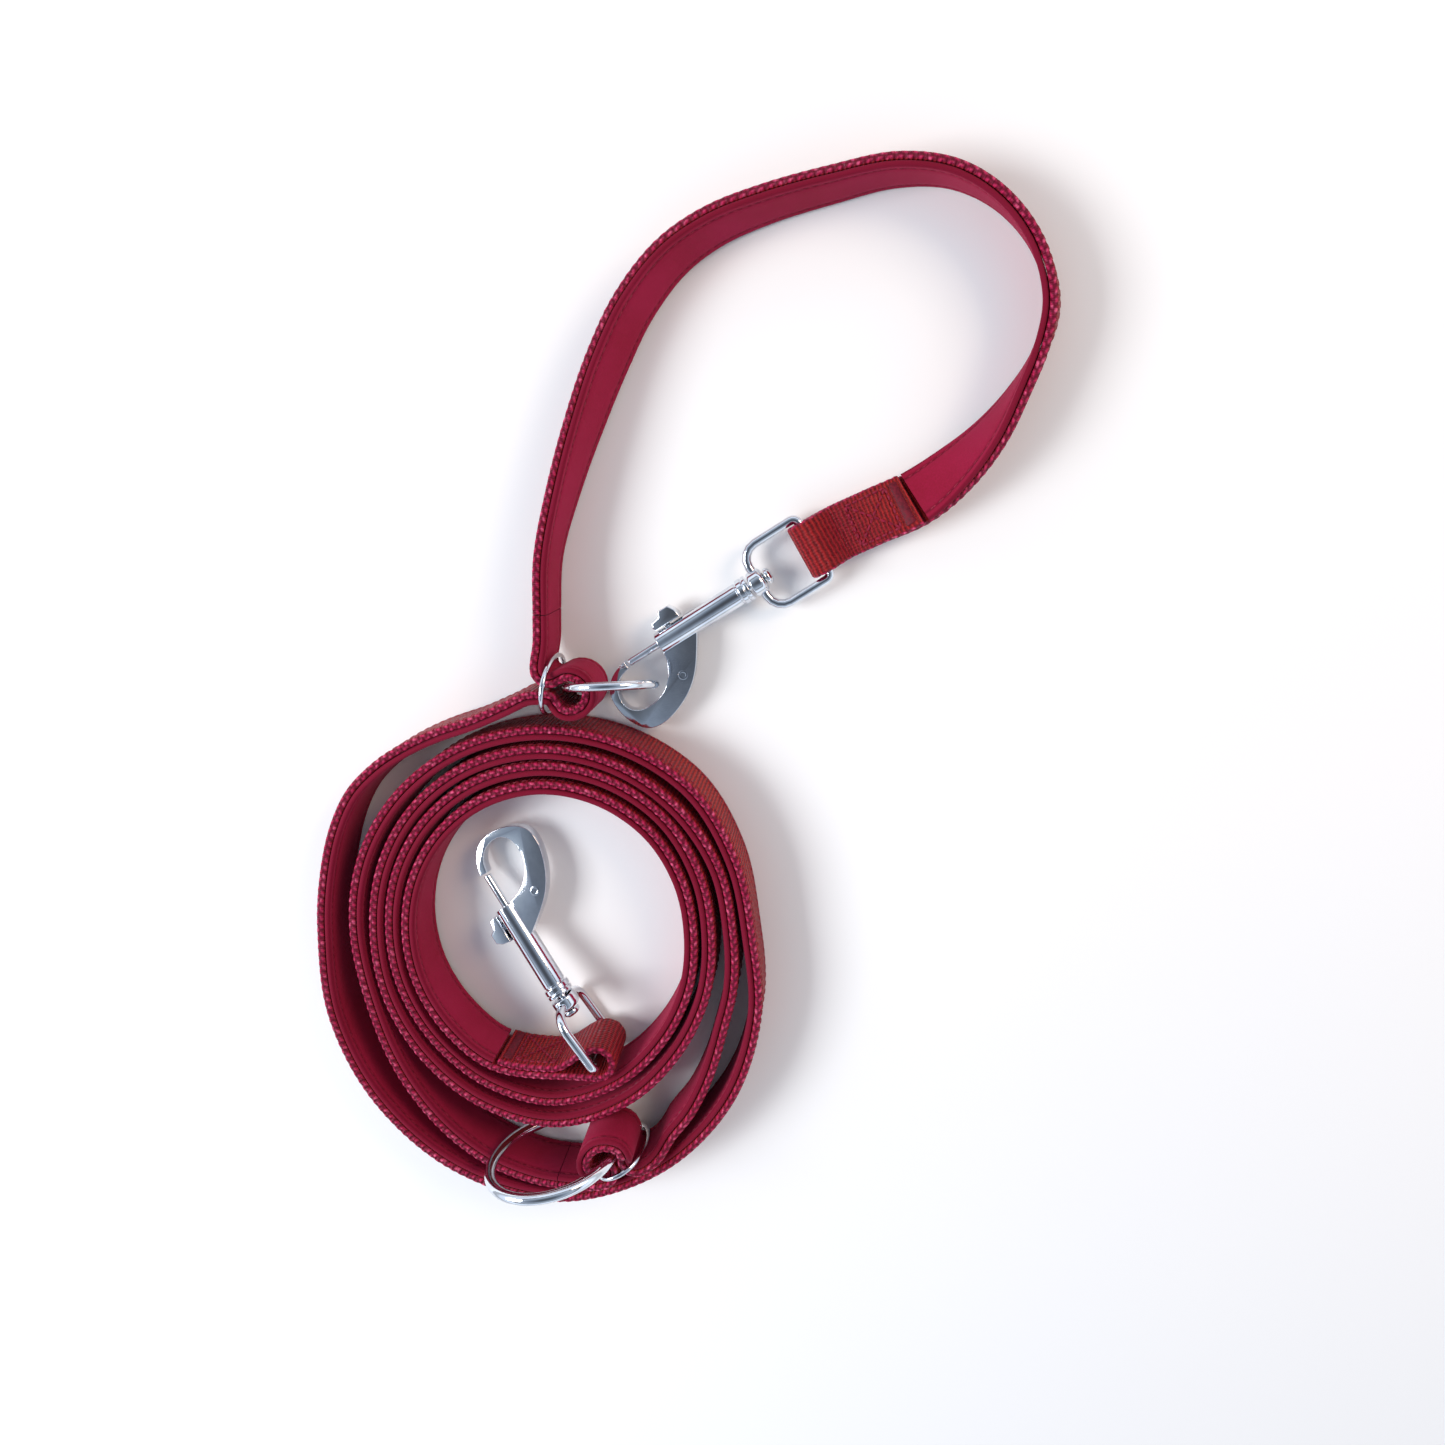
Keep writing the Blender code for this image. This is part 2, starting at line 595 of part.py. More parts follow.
def eye_path():
    """Rectangle of the eye's wire centre with rounded corners, tight at the bar and wide at the front."""
    half = (EYE_WIDTH + EYE_WIRE) / 2
    path = []
    corners = (
        (EYE_LENGTH, half, EYE_FRONT_CORNER, 90), (0, half, EYE_BAR_CORNER, 180),
        (0, -half, EYE_BAR_CORNER, 270), (EYE_LENGTH, -half, EYE_FRONT_CORNER, 0),
    )
    steps = 4
    for x, z, radius, end_angle in corners:
        centre_x = x - radius if x else radius
        centre_z = z - radius if z > 0 else z + radius
        for step in range(steps + 1):
            angle = math.radians(end_angle - 90 + 90 * step / steps)
            path.append((centre_x + radius * math.cos(angle), centre_z + radius * math.sin(angle)))
    return path


def build_eye(prefix, frame, origin, chrome):
    """The square eye that the strap folds round, with the bored boss that the swivel rivet turns in."""
    eye = wire_loop(eye_path(), EYE_WIRE, frame, prefix + "_eye", chrome, origin)
    boss = ((EYE_LENGTH - BOSS_LENGTH / 2, 0), (EYE_LENGTH - BOSS_LENGTH / 2, BOSS_DIAMETER / 2 - 0.8),
            (EYE_LENGTH - BOSS_LENGTH / 2 + 0.8, BOSS_DIAMETER / 2),
            (EYE_LENGTH + BOSS_LENGTH / 2, BOSS_DIAMETER / 2), (EYE_LENGTH + BOSS_LENGTH / 2, 0))
    boss_guide = turned(boss, frame, prefix + "_eye_boss_guide", chrome, origin)
    combine(eye, boss_guide, "UNION")
    bore = ((EYE_LENGTH - BOSS_LENGTH, 0), (EYE_LENGTH - BOSS_LENGTH, BOSS_BORE / 2),
            (EYE_LENGTH + BOSS_LENGTH, BOSS_BORE / 2), (EYE_LENGTH + BOSS_LENGTH, 0))
    combine(eye, turned(bore, frame, prefix + "_eye_bore_guide", chrome, origin), "DIFFERENCE")


def barrel_profile():
    outer = BARREL_DIAMETER / 2
    collar = COLLAR_DIAMETER / 2
    collar_end = COLLAR_START + COLLAR_LENGTH
    rear_diameter, rear_depth = REAR_BORE
    rear_end = COLLAR_START + rear_depth
    return (
        (rear_end, 0), (rear_end, rear_diameter / 2), (COLLAR_START, rear_diameter / 2),
        (COLLAR_START, collar - 0.6), (COLLAR_START + 0.6, collar), (collar_end, collar),
        (collar_end, outer - 0.3), (collar_end + GROOVE_LENGTH, outer - 0.3),
        (collar_end + GROOVE_LENGTH, outer), (BARREL_FRONT - 0.6, outer), (BARREL_FRONT, outer - 0.6),
        (BARREL_FRONT, BOLT_BORE_DIAMETER / 2), (BOLT_BORE_START, BOLT_BORE_DIAMETER / 2),
        (BOLT_BORE_START, 0),
    )


def build_snap_body(prefix, frame, origin, chrome):
    """The cast barrel and hook in one piece, bored for the bolt and slotted for the thumb knob."""
    body = turned(barrel_profile(), frame, prefix + "_snap_body", chrome, origin)
    shape = [(BARREL_FRONT + x, y) for x, y in rounded_outline(HOOK_OUTLINE, HOOK_CORNERS, 3)]
    hook = extruded(shape, HOOK_THICKNESS, frame, prefix + "_hook_guide", chrome, origin)
    combine(body, hook, "UNION")
    slot_end = STEM_CENTRE + STEM_LENGTH / 2 + SLOT_CLEARANCE
    slot_start = STEM_CENTRE - STEM_LENGTH / 2 - SLOT_CLEARANCE - BOLT_TRAVEL
    low, high = (slot_start, -BARREL_DIAMETER, -SLOT_WIDTH / 2), (slot_end, -1.0, SLOT_WIDTH / 2)
    combine(body, box(low, high, frame, prefix + "_slot_guide", chrome, origin), "DIFFERENCE")


def build_bolt(prefix, frame, origin, chrome):
    """The sliding bolt and the thumb knob that is fixed to it through the slot."""
    radius = BOLT_DIAMETER / 2
    bolt = ((BOLT_REAR, 0), (BOLT_REAR, radius), (BOLT_TIP - 0.5, radius), (BOLT_TIP, radius - 0.5), (BOLT_TIP, 0))
    turned(bolt, frame, prefix + "_bolt", chrome, origin)
    outline = [(STEM_CENTRE + x, y) for x, y in KNOB_OUTLINE]
    knob = extruded(outline, KNOB_THICKNESS, frame, prefix + "_thumb_knob", chrome, origin)
    foot = radius + GAP
    low = (STEM_CENTRE - STEM_LENGTH / 2, -5.5, -STEM_THICKNESS / 2)
    high = (STEM_CENTRE + STEM_LENGTH / 2, -foot, STEM_THICKNESS / 2)
    combine(knob, box(low, high, frame, prefix + "_stem_guide", chrome, origin), "UNION")


def build_spring(prefix, frame, origin, chrome):
    """The coil spring that pushes the bolt towards the nose."""
    sides, segments = 6, 12
    start, end = BOLT_BORE_START + GAP + SPRING_WIRE / 2, BOLT_REAR - GAP - SPRING_WIRE / 2
    radius = (SPRING_DIAMETER - SPRING_WIRE) / 2
    mesh = bmesh.new()
    rows = []
    for i in range(SPRING_TURNS * segments + 1):
        share = i / (SPRING_TURNS * segments)
        angle = 2 * math.pi * i / segments
        radial = Vector((0, math.cos(angle), math.sin(angle)))
        centre = Vector((start + (end - start) * share, 0, 0)) + radial * radius
        row = []
        for k in range(sides):
            around = 2 * math.pi * k / sides
            shift = radial * math.cos(around) + Vector((1, 0, 0)) * math.sin(around)
            row.append(mesh.verts.new(frame @ (centre + shift * SPRING_WIRE / 2)))
        rows.append(row)
    for row, next_row in zip(rows, rows[1:]):
        for k in range(sides):
            mesh.faces.new((row[k], row[(k + 1) % sides], next_row[(k + 1) % sides], next_row[k]))
    mesh.faces.new(rows[0])
    mesh.faces.new(reversed(rows[-1]))
    add_object(prefix + "_bolt_spring", mesh, chrome, origin=origin)


def build_rivet(prefix, frame, origin, chrome):
    """The swivel rivet: its head is inside the eye and its shaft is fixed in the end of the barrel."""
    diameter, height = RIVET_HEAD
    face = -BOSS_LENGTH / 2 - 0.8
    shaft = RIVET_SHAFT / 2
    tip = COLLAR_START + REAR_BORE[1] - GAP
    profile = ((face - height, 0), (face - height, diameter / 2 - 0.9), (face - height + 0.9, diameter / 2),
               (face, diameter / 2), (face, shaft), (tip, shaft), (tip, 0))
    turned(profile, frame, prefix + "_swivel_rivet", chrome, origin)


def build_snap(snap, chrome):
    heading = math.radians(snap["heading"])
    level = Vector((math.cos(heading), math.sin(heading), 0))
    bar = Vector(snap["bar"])
    bar_axis = Vector((0, 0, 1)) if snap["bar_upright"] else Vector((-level.y, level.x, 0))
    eye_frame = frame_from(bar, level, bar_axis.cross(level))
    build_eye(snap["prefix"], eye_frame, bar, chrome)
    boss = bar + level * EYE_LENGTH
    droop = math.radians(snap["droop"])
    forward = level * math.cos(droop) - Vector((0, 0, 1)) * math.sin(droop)
    belly = Vector((-level.y, level.x, 0)) * snap["belly"]
    frame = frame_from(boss, forward, belly)
    build_snap_body(snap["prefix"], frame, boss, chrome)
    build_rivet(snap["prefix"], frame, boss, chrome)
    build_bolt(snap["prefix"], frame, boss, chrome)
    build_spring(snap["prefix"], frame, boss, chrome)


def frame_from(origin, x_axis, y_axis):
    z_axis = x_axis.cross(y_axis)
    rotation = Matrix((x_axis, y_axis, z_axis)).transposed().to_4x4()
    return Matrix.Translation(origin) @ rotation


def main():
    clear_scene()
    webbing = make_material("webbing", WEBBING_COLOUR, 0.62, 0.0)
    lining = make_material("lining", LINING_COLOUR, 0.85, 0.0)
    thread = make_material("thread", THREAD_COLOUR, 0.6, 0.0)
    chrome = make_material("chrome", CHROME_COLOUR, 0.12, 1.0)
    build_strap(webbing, lining, thread)
    build_rings(chrome)
    build_snap(END_SNAP, chrome)
    build_snap(START_SNAP, chrome)


main()
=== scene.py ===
"""Looks of the training leash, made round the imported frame.

The strap follows the route of its solids, with a woven selvedge, a stitched lining and sewn flaps.
The hooks and rings are drawn as smooth cast and bent metal. Lengths are in millimetres until a mesh is made.
"""

import math

import bmesh
import bpy
from mathutils import Matrix, Vector


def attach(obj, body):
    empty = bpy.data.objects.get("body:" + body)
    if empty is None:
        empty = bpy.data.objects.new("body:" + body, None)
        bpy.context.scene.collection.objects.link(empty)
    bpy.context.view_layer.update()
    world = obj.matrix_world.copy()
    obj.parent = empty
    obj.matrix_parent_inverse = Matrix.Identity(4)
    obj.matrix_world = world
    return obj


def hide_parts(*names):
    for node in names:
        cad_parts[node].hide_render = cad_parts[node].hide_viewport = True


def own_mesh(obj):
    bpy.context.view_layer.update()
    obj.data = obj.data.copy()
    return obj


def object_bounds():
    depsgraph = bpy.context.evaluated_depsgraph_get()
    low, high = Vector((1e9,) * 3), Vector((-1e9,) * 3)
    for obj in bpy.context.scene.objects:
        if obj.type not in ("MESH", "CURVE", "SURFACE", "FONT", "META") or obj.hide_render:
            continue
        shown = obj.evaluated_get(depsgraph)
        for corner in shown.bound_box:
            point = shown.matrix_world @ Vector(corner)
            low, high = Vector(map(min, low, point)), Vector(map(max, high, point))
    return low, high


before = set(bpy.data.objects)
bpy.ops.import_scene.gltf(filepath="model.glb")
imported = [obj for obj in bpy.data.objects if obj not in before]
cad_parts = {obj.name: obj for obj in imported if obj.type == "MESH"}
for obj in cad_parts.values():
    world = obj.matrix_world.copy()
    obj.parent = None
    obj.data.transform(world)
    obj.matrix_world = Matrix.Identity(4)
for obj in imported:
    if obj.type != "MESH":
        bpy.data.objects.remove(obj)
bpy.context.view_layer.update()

METRES = 0.001
BASE_CENTRE = (1.843, 0.156, -0.057)

# Strap
STRAP_WIDTH = 19.5
WEBBING_THICKNESS = 2.5
LINING_THICKNESS = 2.0
GAP = 0.3
STRAP_THICKNESS = WEBBING_THICKNESS + GAP + LINING_THICKNESS
WEBBING_OFFSET = (STRAP_THICKNESS - WEBBING_THICKNESS) / 2
LINING_OFFSET = -(STRAP_THICKNESS - LINING_THICKNESS) / 2
FLAP_OFFSET = WEBBING_OFFSET - WEBBING_THICKNESS - GAP
FLAP_LENGTH = 38.0
START_FOLD_RADIUS = 5.4
END_FOLD_RADIUS = 4.3
START_FLAP_BLEND = 16.0
END_FLAP_BLEND = 11.0
TACK_WIDTH = 15.0
CURVE_STEPS = 10

# Coil: the radius of the webbing's outer face at each eighth of a turn, clockwise from the bottom.
# Most quarter-turn values were worked out from points read on the photograph.
COIL_CENTRE = (-43.5, -77.0)
EIGHTH_TURN = 45.0
INNER_COIL_RADII = (
    56.0, 53.6, 52.5, 53.6, 55.4, 54.6, 52.8, 57.5,
    65.4, 61.5, 58.7, 60.0, 62.1, 61.5, 59.0, 64.5,
    73.9, 69.0, 64.5, 66.0, 68.0, 67.5, 66.6,
)
OUTER_COIL_FIRST_EIGHTH = 2
OUTER_COIL_RADII = (71.8, 73.0, 74.7, 75.5, 73.2, 90.0, 103.5, 94.5, 83.6)

# Free parts of the route: x, y, lift above the resting plane, lean in degrees. The places began as
# millimetres worked out from points read on the photograph, and most were then adjusted.
# A lean of 90 lays the strap flat with its lining up.
START_ROUTE = ((-27.0, -127.9, 3.3, 0),)
COIL_TO_LOWER_BIGHT = (
    (20.5, -95.5, 0, 0), (16.8, -111.6, 0, 0), (11.7, -129.1, 0, 0), (5.2, -142.6, 1.0, 0),
    (-1.8, -151.4, 2.2, 0), (-6.0, -158.1, 3.4, 0), (-9.4, -161.4, 4.1, 0),
)
LOWER_BIGHT_TO_COIL = (
    (-28.5, -170.1, 3.6, 0), (-34.0, -171.0, 2.4, 0), (-43.0, -171.6, 1.2, 0), (-53.0, -170.6, 0.4, 0),
    (-68.6, -164.6, 0, 0), (-84.0, -152.4, 0, 0), (-97.3, -134.6, 0, 0), (-106.5, -112.8, 0, 0),
)
COIL_TO_UPPER_BIGHT = (
    (-122.6, -58.4, 0, 0), (-118.0, -40.8, 0, 0), (-111.2, -27.4, 0, 0), (-102.0, -18.2, 0, 0),
    (-91.5, -11.4, 0, 0), (-80.0, -6.0, 0.4, 0), (-66.0, -1.0, 1.6, 0), (-54.0, 4.4, 2.8, 0),
    (-46.5, 8.0, 3.6, 0),
)
UPPER_BIGHT_TO_END = (
    (-42.4, 20.6, 3.2, 0), (-41.8, 26.0, 1.8, 0), (-41.7, 36.0, 0.6, 0),
    (-40.6, 55.0, 0, 2), (-33.6, 80.0, 0, 10), (-25.6, 102.0, 0, 18), (-18.0, 120.0, 0, 23),
    (-9.0, 137.0, 0, 23), (3.6, 152.2, 0, 20), (17.6, 161.6, 0, 16), (35.0, 168.2, 0, 12),
    (56.0, 173.6, 0, 9), (76.5, 177.6, 0, 5), (94.6, 176.0, 0, -2), (110.0, 167.6, 0, -9),
    (121.4, 153.6, 0, -14), (126.2, 136.5, 0, -15), (122.8, 121.0, 0.2, -8), (115.2, 106.4, 0.5, 5),
    (106.6, 94.0, 0.8, 24), (96.0, 83.2, 1.1, 46), (83.6, 73.8, 1.3, 70), (69.8, 67.6, 1.3, 86),
    (59.1, 62.8, 1.3, 90), (50.1, 57.9, 1.3, 90),
)

# Bights: place and heading of the neck, radius and half width of the lobe ahead of it, lift in the lobe
NECK_SPREAD = 2.9
NECK_BEND = 4.0
NECK_LIFT = 4.1
RING_PAST_NECK = -0.25
POINTS_TO_JOIN = 2
LOWER_BIGHT = {"x": -20.4, "y": -162.4, "heading": 114.0, "radius": 6.3, "half_width": 7.8, "lift": 10.8,
               "turn_in": 78.0, "turn_out": 78.0}
UPPER_BIGHT = {"x": -39.3, "y": 11.6, "heading": -8.0, "radius": 6.8, "half_width": 6.8, "lift": 6.3,
               "turn_in": 24.0, "turn_out": 78.0}

# Rings: outer diameter and wire diameter
SMALL_RING = (28.0, 1.7)
SMALL_RING_SQUEEZE = 0.75
LOWER_RING = (48.0, 3.8)
UPPER_RING = (33.0, 3.0)
LOWER_RING_HEADING = 7.0
LOWER_RING_LEAN = 3.0
LOWER_RING_REACH = (-19.4, 0.3)
UPPER_RING_HEADING = 3.0
UPPER_RING_LEAN = 12.0
UPPER_RING_REACH = (12.2, 0.3)

# Swivel snap hook; its own X runs from the swivel to the nose and its own Y to the belly of the hook
EYE_WIDTH = 20.4
EYE_WIRE = 3.2
EYE_LENGTH = 22.5
EYE_BAR_CORNER = 2.2
EYE_FRONT_CORNER = 6.0
BOSS_DIAMETER = 9.2
BOSS_LENGTH = 5.0
BOSS_BORE = 4.2
RIVET_SHAFT = 2.6
RIVET_HEAD = (5.8, 2.0)
COLLAR_START = 3.4
COLLAR_LENGTH = 3.6
COLLAR_DIAMETER = 9.2
GROOVE_LENGTH = 0.8
BARREL_DIAMETER = 8.0
BARREL_FRONT = 40.5
REAR_BORE = (3.2, 4.8)
BOLT_BORE_DIAMETER = 3.8
BOLT_BORE_START = 9.8
BOLT_DIAMETER = 2.8
BOLT_REAR = 26.0
BOLT_TIP = 53.4
BOLT_TRAVEL = 9.0
SLOT_WIDTH = 2.4
STEM_CENTRE = 34.4
STEM_LENGTH = 2.4
STEM_THICKNESS = 1.8
SLOT_CLEARANCE = 0.4
KNOB_THICKNESS = 5.0
HOOK_THICKNESS = 4.4
SPRING_WIRE = 0.5
SPRING_DIAMETER = 3.1
SPRING_TURNS = 7

# Outline of the hook ahead of the barrel's front: along the barrel, then towards the belly
HOOK_OUTLINE = (
    (-14.0, 2.5), (-11.6, 6.3), (-7.1, 12.6), (-2.5, 17.4), (3.5, 21.2), (11.0, 23.8), (17.0, 23.9),
    (21.0, 21.6), (23.8, 17.0), (25.0, 11.5), (24.6, 6.5), (22.4, 2.7), (18.5, 0.0), (13.8, -1.5),
    (13.7, 1.5), (17.6, 2.6), (20.5, 4.9), (22.2, 9.0), (21.6, 13.2), (18.6, 15.8), (14.6, 16.4),
    (9.5, 15.6), (5.0, 12.6), (1.7, 8.0), (0.2, 3.1), (-2.0, 2.5),
)
HOOK_CORNERS = (0, 13, 14, 24, 25)
# Thumb knob in the same directions, measured from the stem's centre
KNOB_OUTLINE = (
    (-5.6, -4.5), (4.4, -4.5), (5.0, -5.6), (4.4, -7.4), (1.2, -8.0), (0.2, -9.8), (-3.6, -9.8),
    (-5.0, -7.6),
)

# Where the two snap hooks lie: cross bar centre, heading, droop at the swivel, side of the belly
END_SNAP = {"prefix": "handle", "bar": (49.9, 57.8, 6.5), "heading": 212.0, "droop": 0.0, "belly": 1,
            "bar_upright": False}
START_SNAP = {"prefix": "coil", "bar": (-27.0, -123.9, 13.4), "heading": 124.0, "droop": 8.0, "belly": -1,
              "bar_upright": True}


# Looks
ROW_STEP = 0.42
LINING_STEP = 1.6
BEAD_PITCH = 3.1
BEAD_HEIGHT = 0.32
EDGE_RADIUS = 1.1
LINING_WIDTH = 18.9
GROOVE_OFFSET = 6.9
GROOVE_DEPTH = 0.35
STITCH_PITCH = 3.1
STITCH_LENGTH = 2.1
STITCH_RADIUS = 0.3
FLAP_STITCH_RADIUS = 0.46
FLAP_STITCH_LIFT = 0.08
BOX_PITCH, BOX_STITCH = 2.4, 1.8
BOX_NEAR, BOX_FAR, BOX_HALF = 15.0, 30.0, 7.2
TACK_TO_END = (6.4, 3.0)
TACK_TURNS = 26
TACK_STITCH = 3.6
RIB_PITCH = 1.45
THREAD_PITCH = 1.05
FACE_COLUMNS = (8, 4)
SELVEDGE_STEPS = 10
LINING_EDGE_STEPS = 8
LINING_FLAT = 8.45
LINING_COLUMNS = (-8.3, -7.7, -7.3, -6.9, -6.5, -6.1, -4.0, 0.0, 4.0, 6.1, 6.5, 6.9, 7.3, 7.7, 8.3)
GROOVE_WIDTH = 0.42
RESTING_GAP = 0.05
WIRE_SIDES = 20
TURN_SEGMENTS = 64
HOOK_RIM, KNOB_RIM, STEM_RIM = 0.95, 0.45, 0.2
COLLAR_GROOVE = (1.2, 1.7, 0.45)
DRAWN_BORE = 10.0
DIMPLE_PLACE = (-1.2, 13.4)
DIMPLE_PROFILE = ((-0.2, 0.0), (0.12, 0.9), (0.2, 1.4), (0.1, 1.7), (-0.3, 1.8), (-0.6, 0.0))
SPRING_STEPS = 24
METAL_SHARP = 35.0
CAMERA_PLACE = (56.85, 81.98, 325.0)
CAMERA_TARGET = (37.0, 39.6, 0.0)
CAMERA_LENS = 23.42
CAMERA_SHIFT = (-0.038, -0.0865)
KEY_POWER = 13.0
WARM_POWER = 4.5
KEY_PLACE, KEY_SIZE = (-0.95, -0.05, 0.78), (0.6, 0.5)
WARM_PLACE, WARM_SIZE = (0.75, 0.55, 0.6), (0.4, 0.4)
FLOOR_REACH = 12.0
SKY_STRENGTH = 1.0
# Sky colours from the horizon up, darker overhead
SKY = (
    (0.0, (0.66, 0.68, 0.72, 1.0)), (0.12, (0.58, 0.61, 0.66, 1.0)), (0.27, (1.05, 1.15, 1.3, 1.0)),
    (0.52, (0.90, 1.0, 1.15, 1.0)), (0.62, (0.12, 0.10, 0.10, 1.0)), (0.72, (0.50, 0.58, 0.68, 1.0)),
    (0.88, (0.26, 0.31, 0.39, 1.0)), (0.99, (0.09, 0.10, 0.12, 1.0)),
)


# ---------------------------------------------------------------- route of the strap
def catmull_rom(p0, p1, p2, p3, t):
    return [
        0.5 * (2 * b + (c - a) * t + (2 * a - 5 * b + 4 * c - d) * t * t + (3 * b - a - 3 * c + d) * t ** 3)
        for a, b, c, d in zip(p0, p1, p2, p3)
    ]


def mix(a, b, start, end, time):
    share = (time - start) / (end - start)
    return [x + (y - x) * share for x, y in zip(a, b)]


def smooth_route(points, i, t):
    """A point between route points i and i + 1, on a curve that stays even where their spacing changes."""
    last = len(points) - 1
    before = points[i - 1] if i else [2 * a - b for a, b in zip(points[0], points[1])]
    after = points[i + 2] if i + 1 < last else [2 * a - b for a, b in zip(points[last], points[last - 1])]
    near = [before, points[i], points[i + 1], after]
    knots = [0.0]
    for a, b in zip(near, near[1:]):
        knots.append(knots[-1] + math.sqrt(math.hypot(b[0] - a[0], b[1] - a[1])))
    time = knots[1] + (knots[2] - knots[1]) * t
    first = [mix(near[k], near[k + 1], knots[k], knots[k + 1], time) for k in range(3)]
    second = [mix(first[k], first[k + 1], knots[k], knots[k + 2], time) for k in range(2)]
    return mix(second[0], second[1], knots[1], knots[2], time)


def coil_route(radii, first_eighth):
    """Points at each 22.5 degrees of a coil, on the middle of the strap."""
    points = []
    for half in range(2 * len(radii) - 1):
        turn = half / 2
        whole = min(int(turn), len(radii) - 2)
        near = [(radii[min(max(whole + k, 0), len(radii) - 1)],) for k in (-1, 0, 1, 2)]
        radius = catmull_rom(*near, turn - whole)[0] - STRAP_THICKNESS / 2
        angle = math.radians(-90 - EIGHTH_TURN * (first_eighth + turn))
        x = COIL_CENTRE[0] + radius * math.cos(angle)
        y = COIL_CENTRE[1] + radius * math.sin(angle)
        points.append((x, y, 0.0, 0.0))
    return points


def directions(heading):
    """The unit vector along a heading in degrees, and the one to its left."""
    angle = math.radians(heading)
    return Vector((math.cos(angle), math.sin(angle), 0)), Vector((-math.sin(angle), math.cos(angle), 0))


def lobe_reach(bight):
    """How far ahead of the neck the lobe's centre lies, so that the bends run into each other."""
    return math.sqrt((bight["radius"] + NECK_BEND) ** 2 - (NECK_SPREAD + NECK_BEND) ** 2)


def neck_bend(angle, side):
    """A point on the bend that leads one strand through the neck, ahead and to the left of the neck."""
    turn = math.radians(angle)
    return NECK_BEND * math.sin(turn), side * (NECK_SPREAD + NECK_BEND * (1 - math.cos(turn)))


def bight_route(bight):
    """In through the neck, round the lobe with the webbing inside, and out through the neck."""
    along, left = directions(bight["heading"])
    radius, ahead = bight["radius"], lobe_reach(bight)
    mouth = math.atan2(NECK_SPREAD + NECK_BEND, ahead)
    half_bend = math.degrees(math.pi / 2 - mouth) / 2
    turn_in, turn_out = bight["turn_in"], bight["turn_out"]
    steps = 8
    bends = (-turn_in, -turn_in * 2 / 3, -turn_in / 3, 0.0, half_bend)
    local = [(*neck_bend(angle, -1), 0.0) for angle in bends]
    for step in range(steps + 1):
        angle = math.pi + mouth + (2 * math.pi - 2 * mouth) * step / steps
        rise = min(1.0, 0.35 + 2.2 * math.sin(math.pi * step / steps))
        side = radius + (bight["half_width"] - radius) * abs(math.sin(angle))
        local.append((ahead + radius * math.cos(angle), side * math.sin(angle), rise))
    bends = (half_bend, 0.0, -turn_out / 3, -turn_out * 2 / 3, -turn_out)
    local += [(*neck_bend(angle, 1), 0.0) for angle in bends]
    points = []
    for u, v, rise in local:
        place = Vector((bight["x"], bight["y"], 0)) + along * u + left * v
        points.append((place.x, place.y, NECK_LIFT + (bight["lift"] - NECK_LIFT) * rise, 0.0))
    return points


def lobe_centre(bight):
    along, _ = directions(bight["heading"])
    return Vector((bight["x"], bight["y"], 0)) + along * lobe_reach(bight)


def settle(points):
    """Lets the lifted start of the coil come down to the resting plane over its first quarter turn."""
    first = START_ROUTE[0][2]
    falling = 5
    return [
        (x, y, first * (1 - (i + 1) / falling) if i + 1 < falling else lift, lean)
        for i, (x, y, lift, lean) in enumerate(points)
    ]


def strap_route():
    """All route points, and the numbers of the two points where the strap is divided into lengths."""
    inner = list(START_ROUTE) + settle(coil_route(INNER_COIL_RADII, 0)[1:]) + list(COIL_TO_LOWER_BIGHT)
    inner += bight_route(LOWER_BIGHT)
    outer = list(LOWER_BIGHT_TO_COIL) + coil_route(OUTER_COIL_RADII, OUTER_COIL_FIRST_EIGHTH)
    outer += list(COIL_TO_UPPER_BIGHT) + bight_route(UPPER_BIGHT)
    points = inner + outer + list(UPPER_BIGHT_TO_END)
    return points, (len(inner) + POINTS_TO_JOIN, len(inner) + len(outer) + POINTS_TO_JOIN)


class Route:
    """A smooth curve through the route points, read by the length along it."""

    def __init__(self):
        points, joins = strap_route()
        samples = []
        self.joins = []
        for i in range(len(points) - 1):
            if i in joins:
                self.joins.append(len(samples))
            samples += [smooth_route(points, i, step / CURVE_STEPS) for step in range(CURVE_STEPS)]
        samples.append(points[-1])
        self.places = []
        for x, y, lift, lean in samples:
            tilt = math.radians(lean)
            height = math.cos(tilt) * STRAP_WIDTH / 2 + abs(math.sin(tilt)) * STRAP_THICKNESS / 2 + lift
            self.places.append((Vector((x, y, height)), tilt))
        self.lengths = [0.0]
        for (a, _), (b, _) in zip(self.places, self.places[1:]):
            self.lengths.append(self.lengths[-1] + (b - a).length)
        self.length = self.lengths[-1]
        self.joins = [self.lengths[index] for index in self.joins]

    def locate(self, distance):
        distance = min(max(distance, 0.0), self.length)
        low, high = 0, len(self.lengths) - 1
        while high - low > 1:
            middle = (low + high) // 2
            if self.lengths[middle] <= distance:
                low = middle
            else:
                high = middle
        share = (distance - self.lengths[low]) / (self.lengths[high] - self.lengths[low])
        return low, share

    def frame(self, distance):
        """Place, forward, left (the webbing's side) and the direction across the strap's width."""
        low, share = self.locate(distance)
        (a, tilt_a), (b, tilt_b) = self.places[low], self.places[low + 1]
        place = a.lerp(b, share)
        before = self.places[max(low - 1, 0)][0]
        after = self.places[min(low + 2, len(self.places) - 1)][0]
        forward = ((b - a) * 2 + (a - before) * (1 - share) + (after - b) * share).normalized()
        flat_left = Vector((-forward.y, forward.x, 0)).normalized()
        tilt = tilt_a + (tilt_b - tilt_a) * share
        across = Vector((0, 0, 1)) * math.cos(tilt) + flat_left * math.sin(tilt)
        left = across.cross(forward).normalized()
        return place, forward, left, across


def smooth_share(value):
    value = min(max(value, 0.0), 1.0)
    return value * value * (3 - 2 * value)


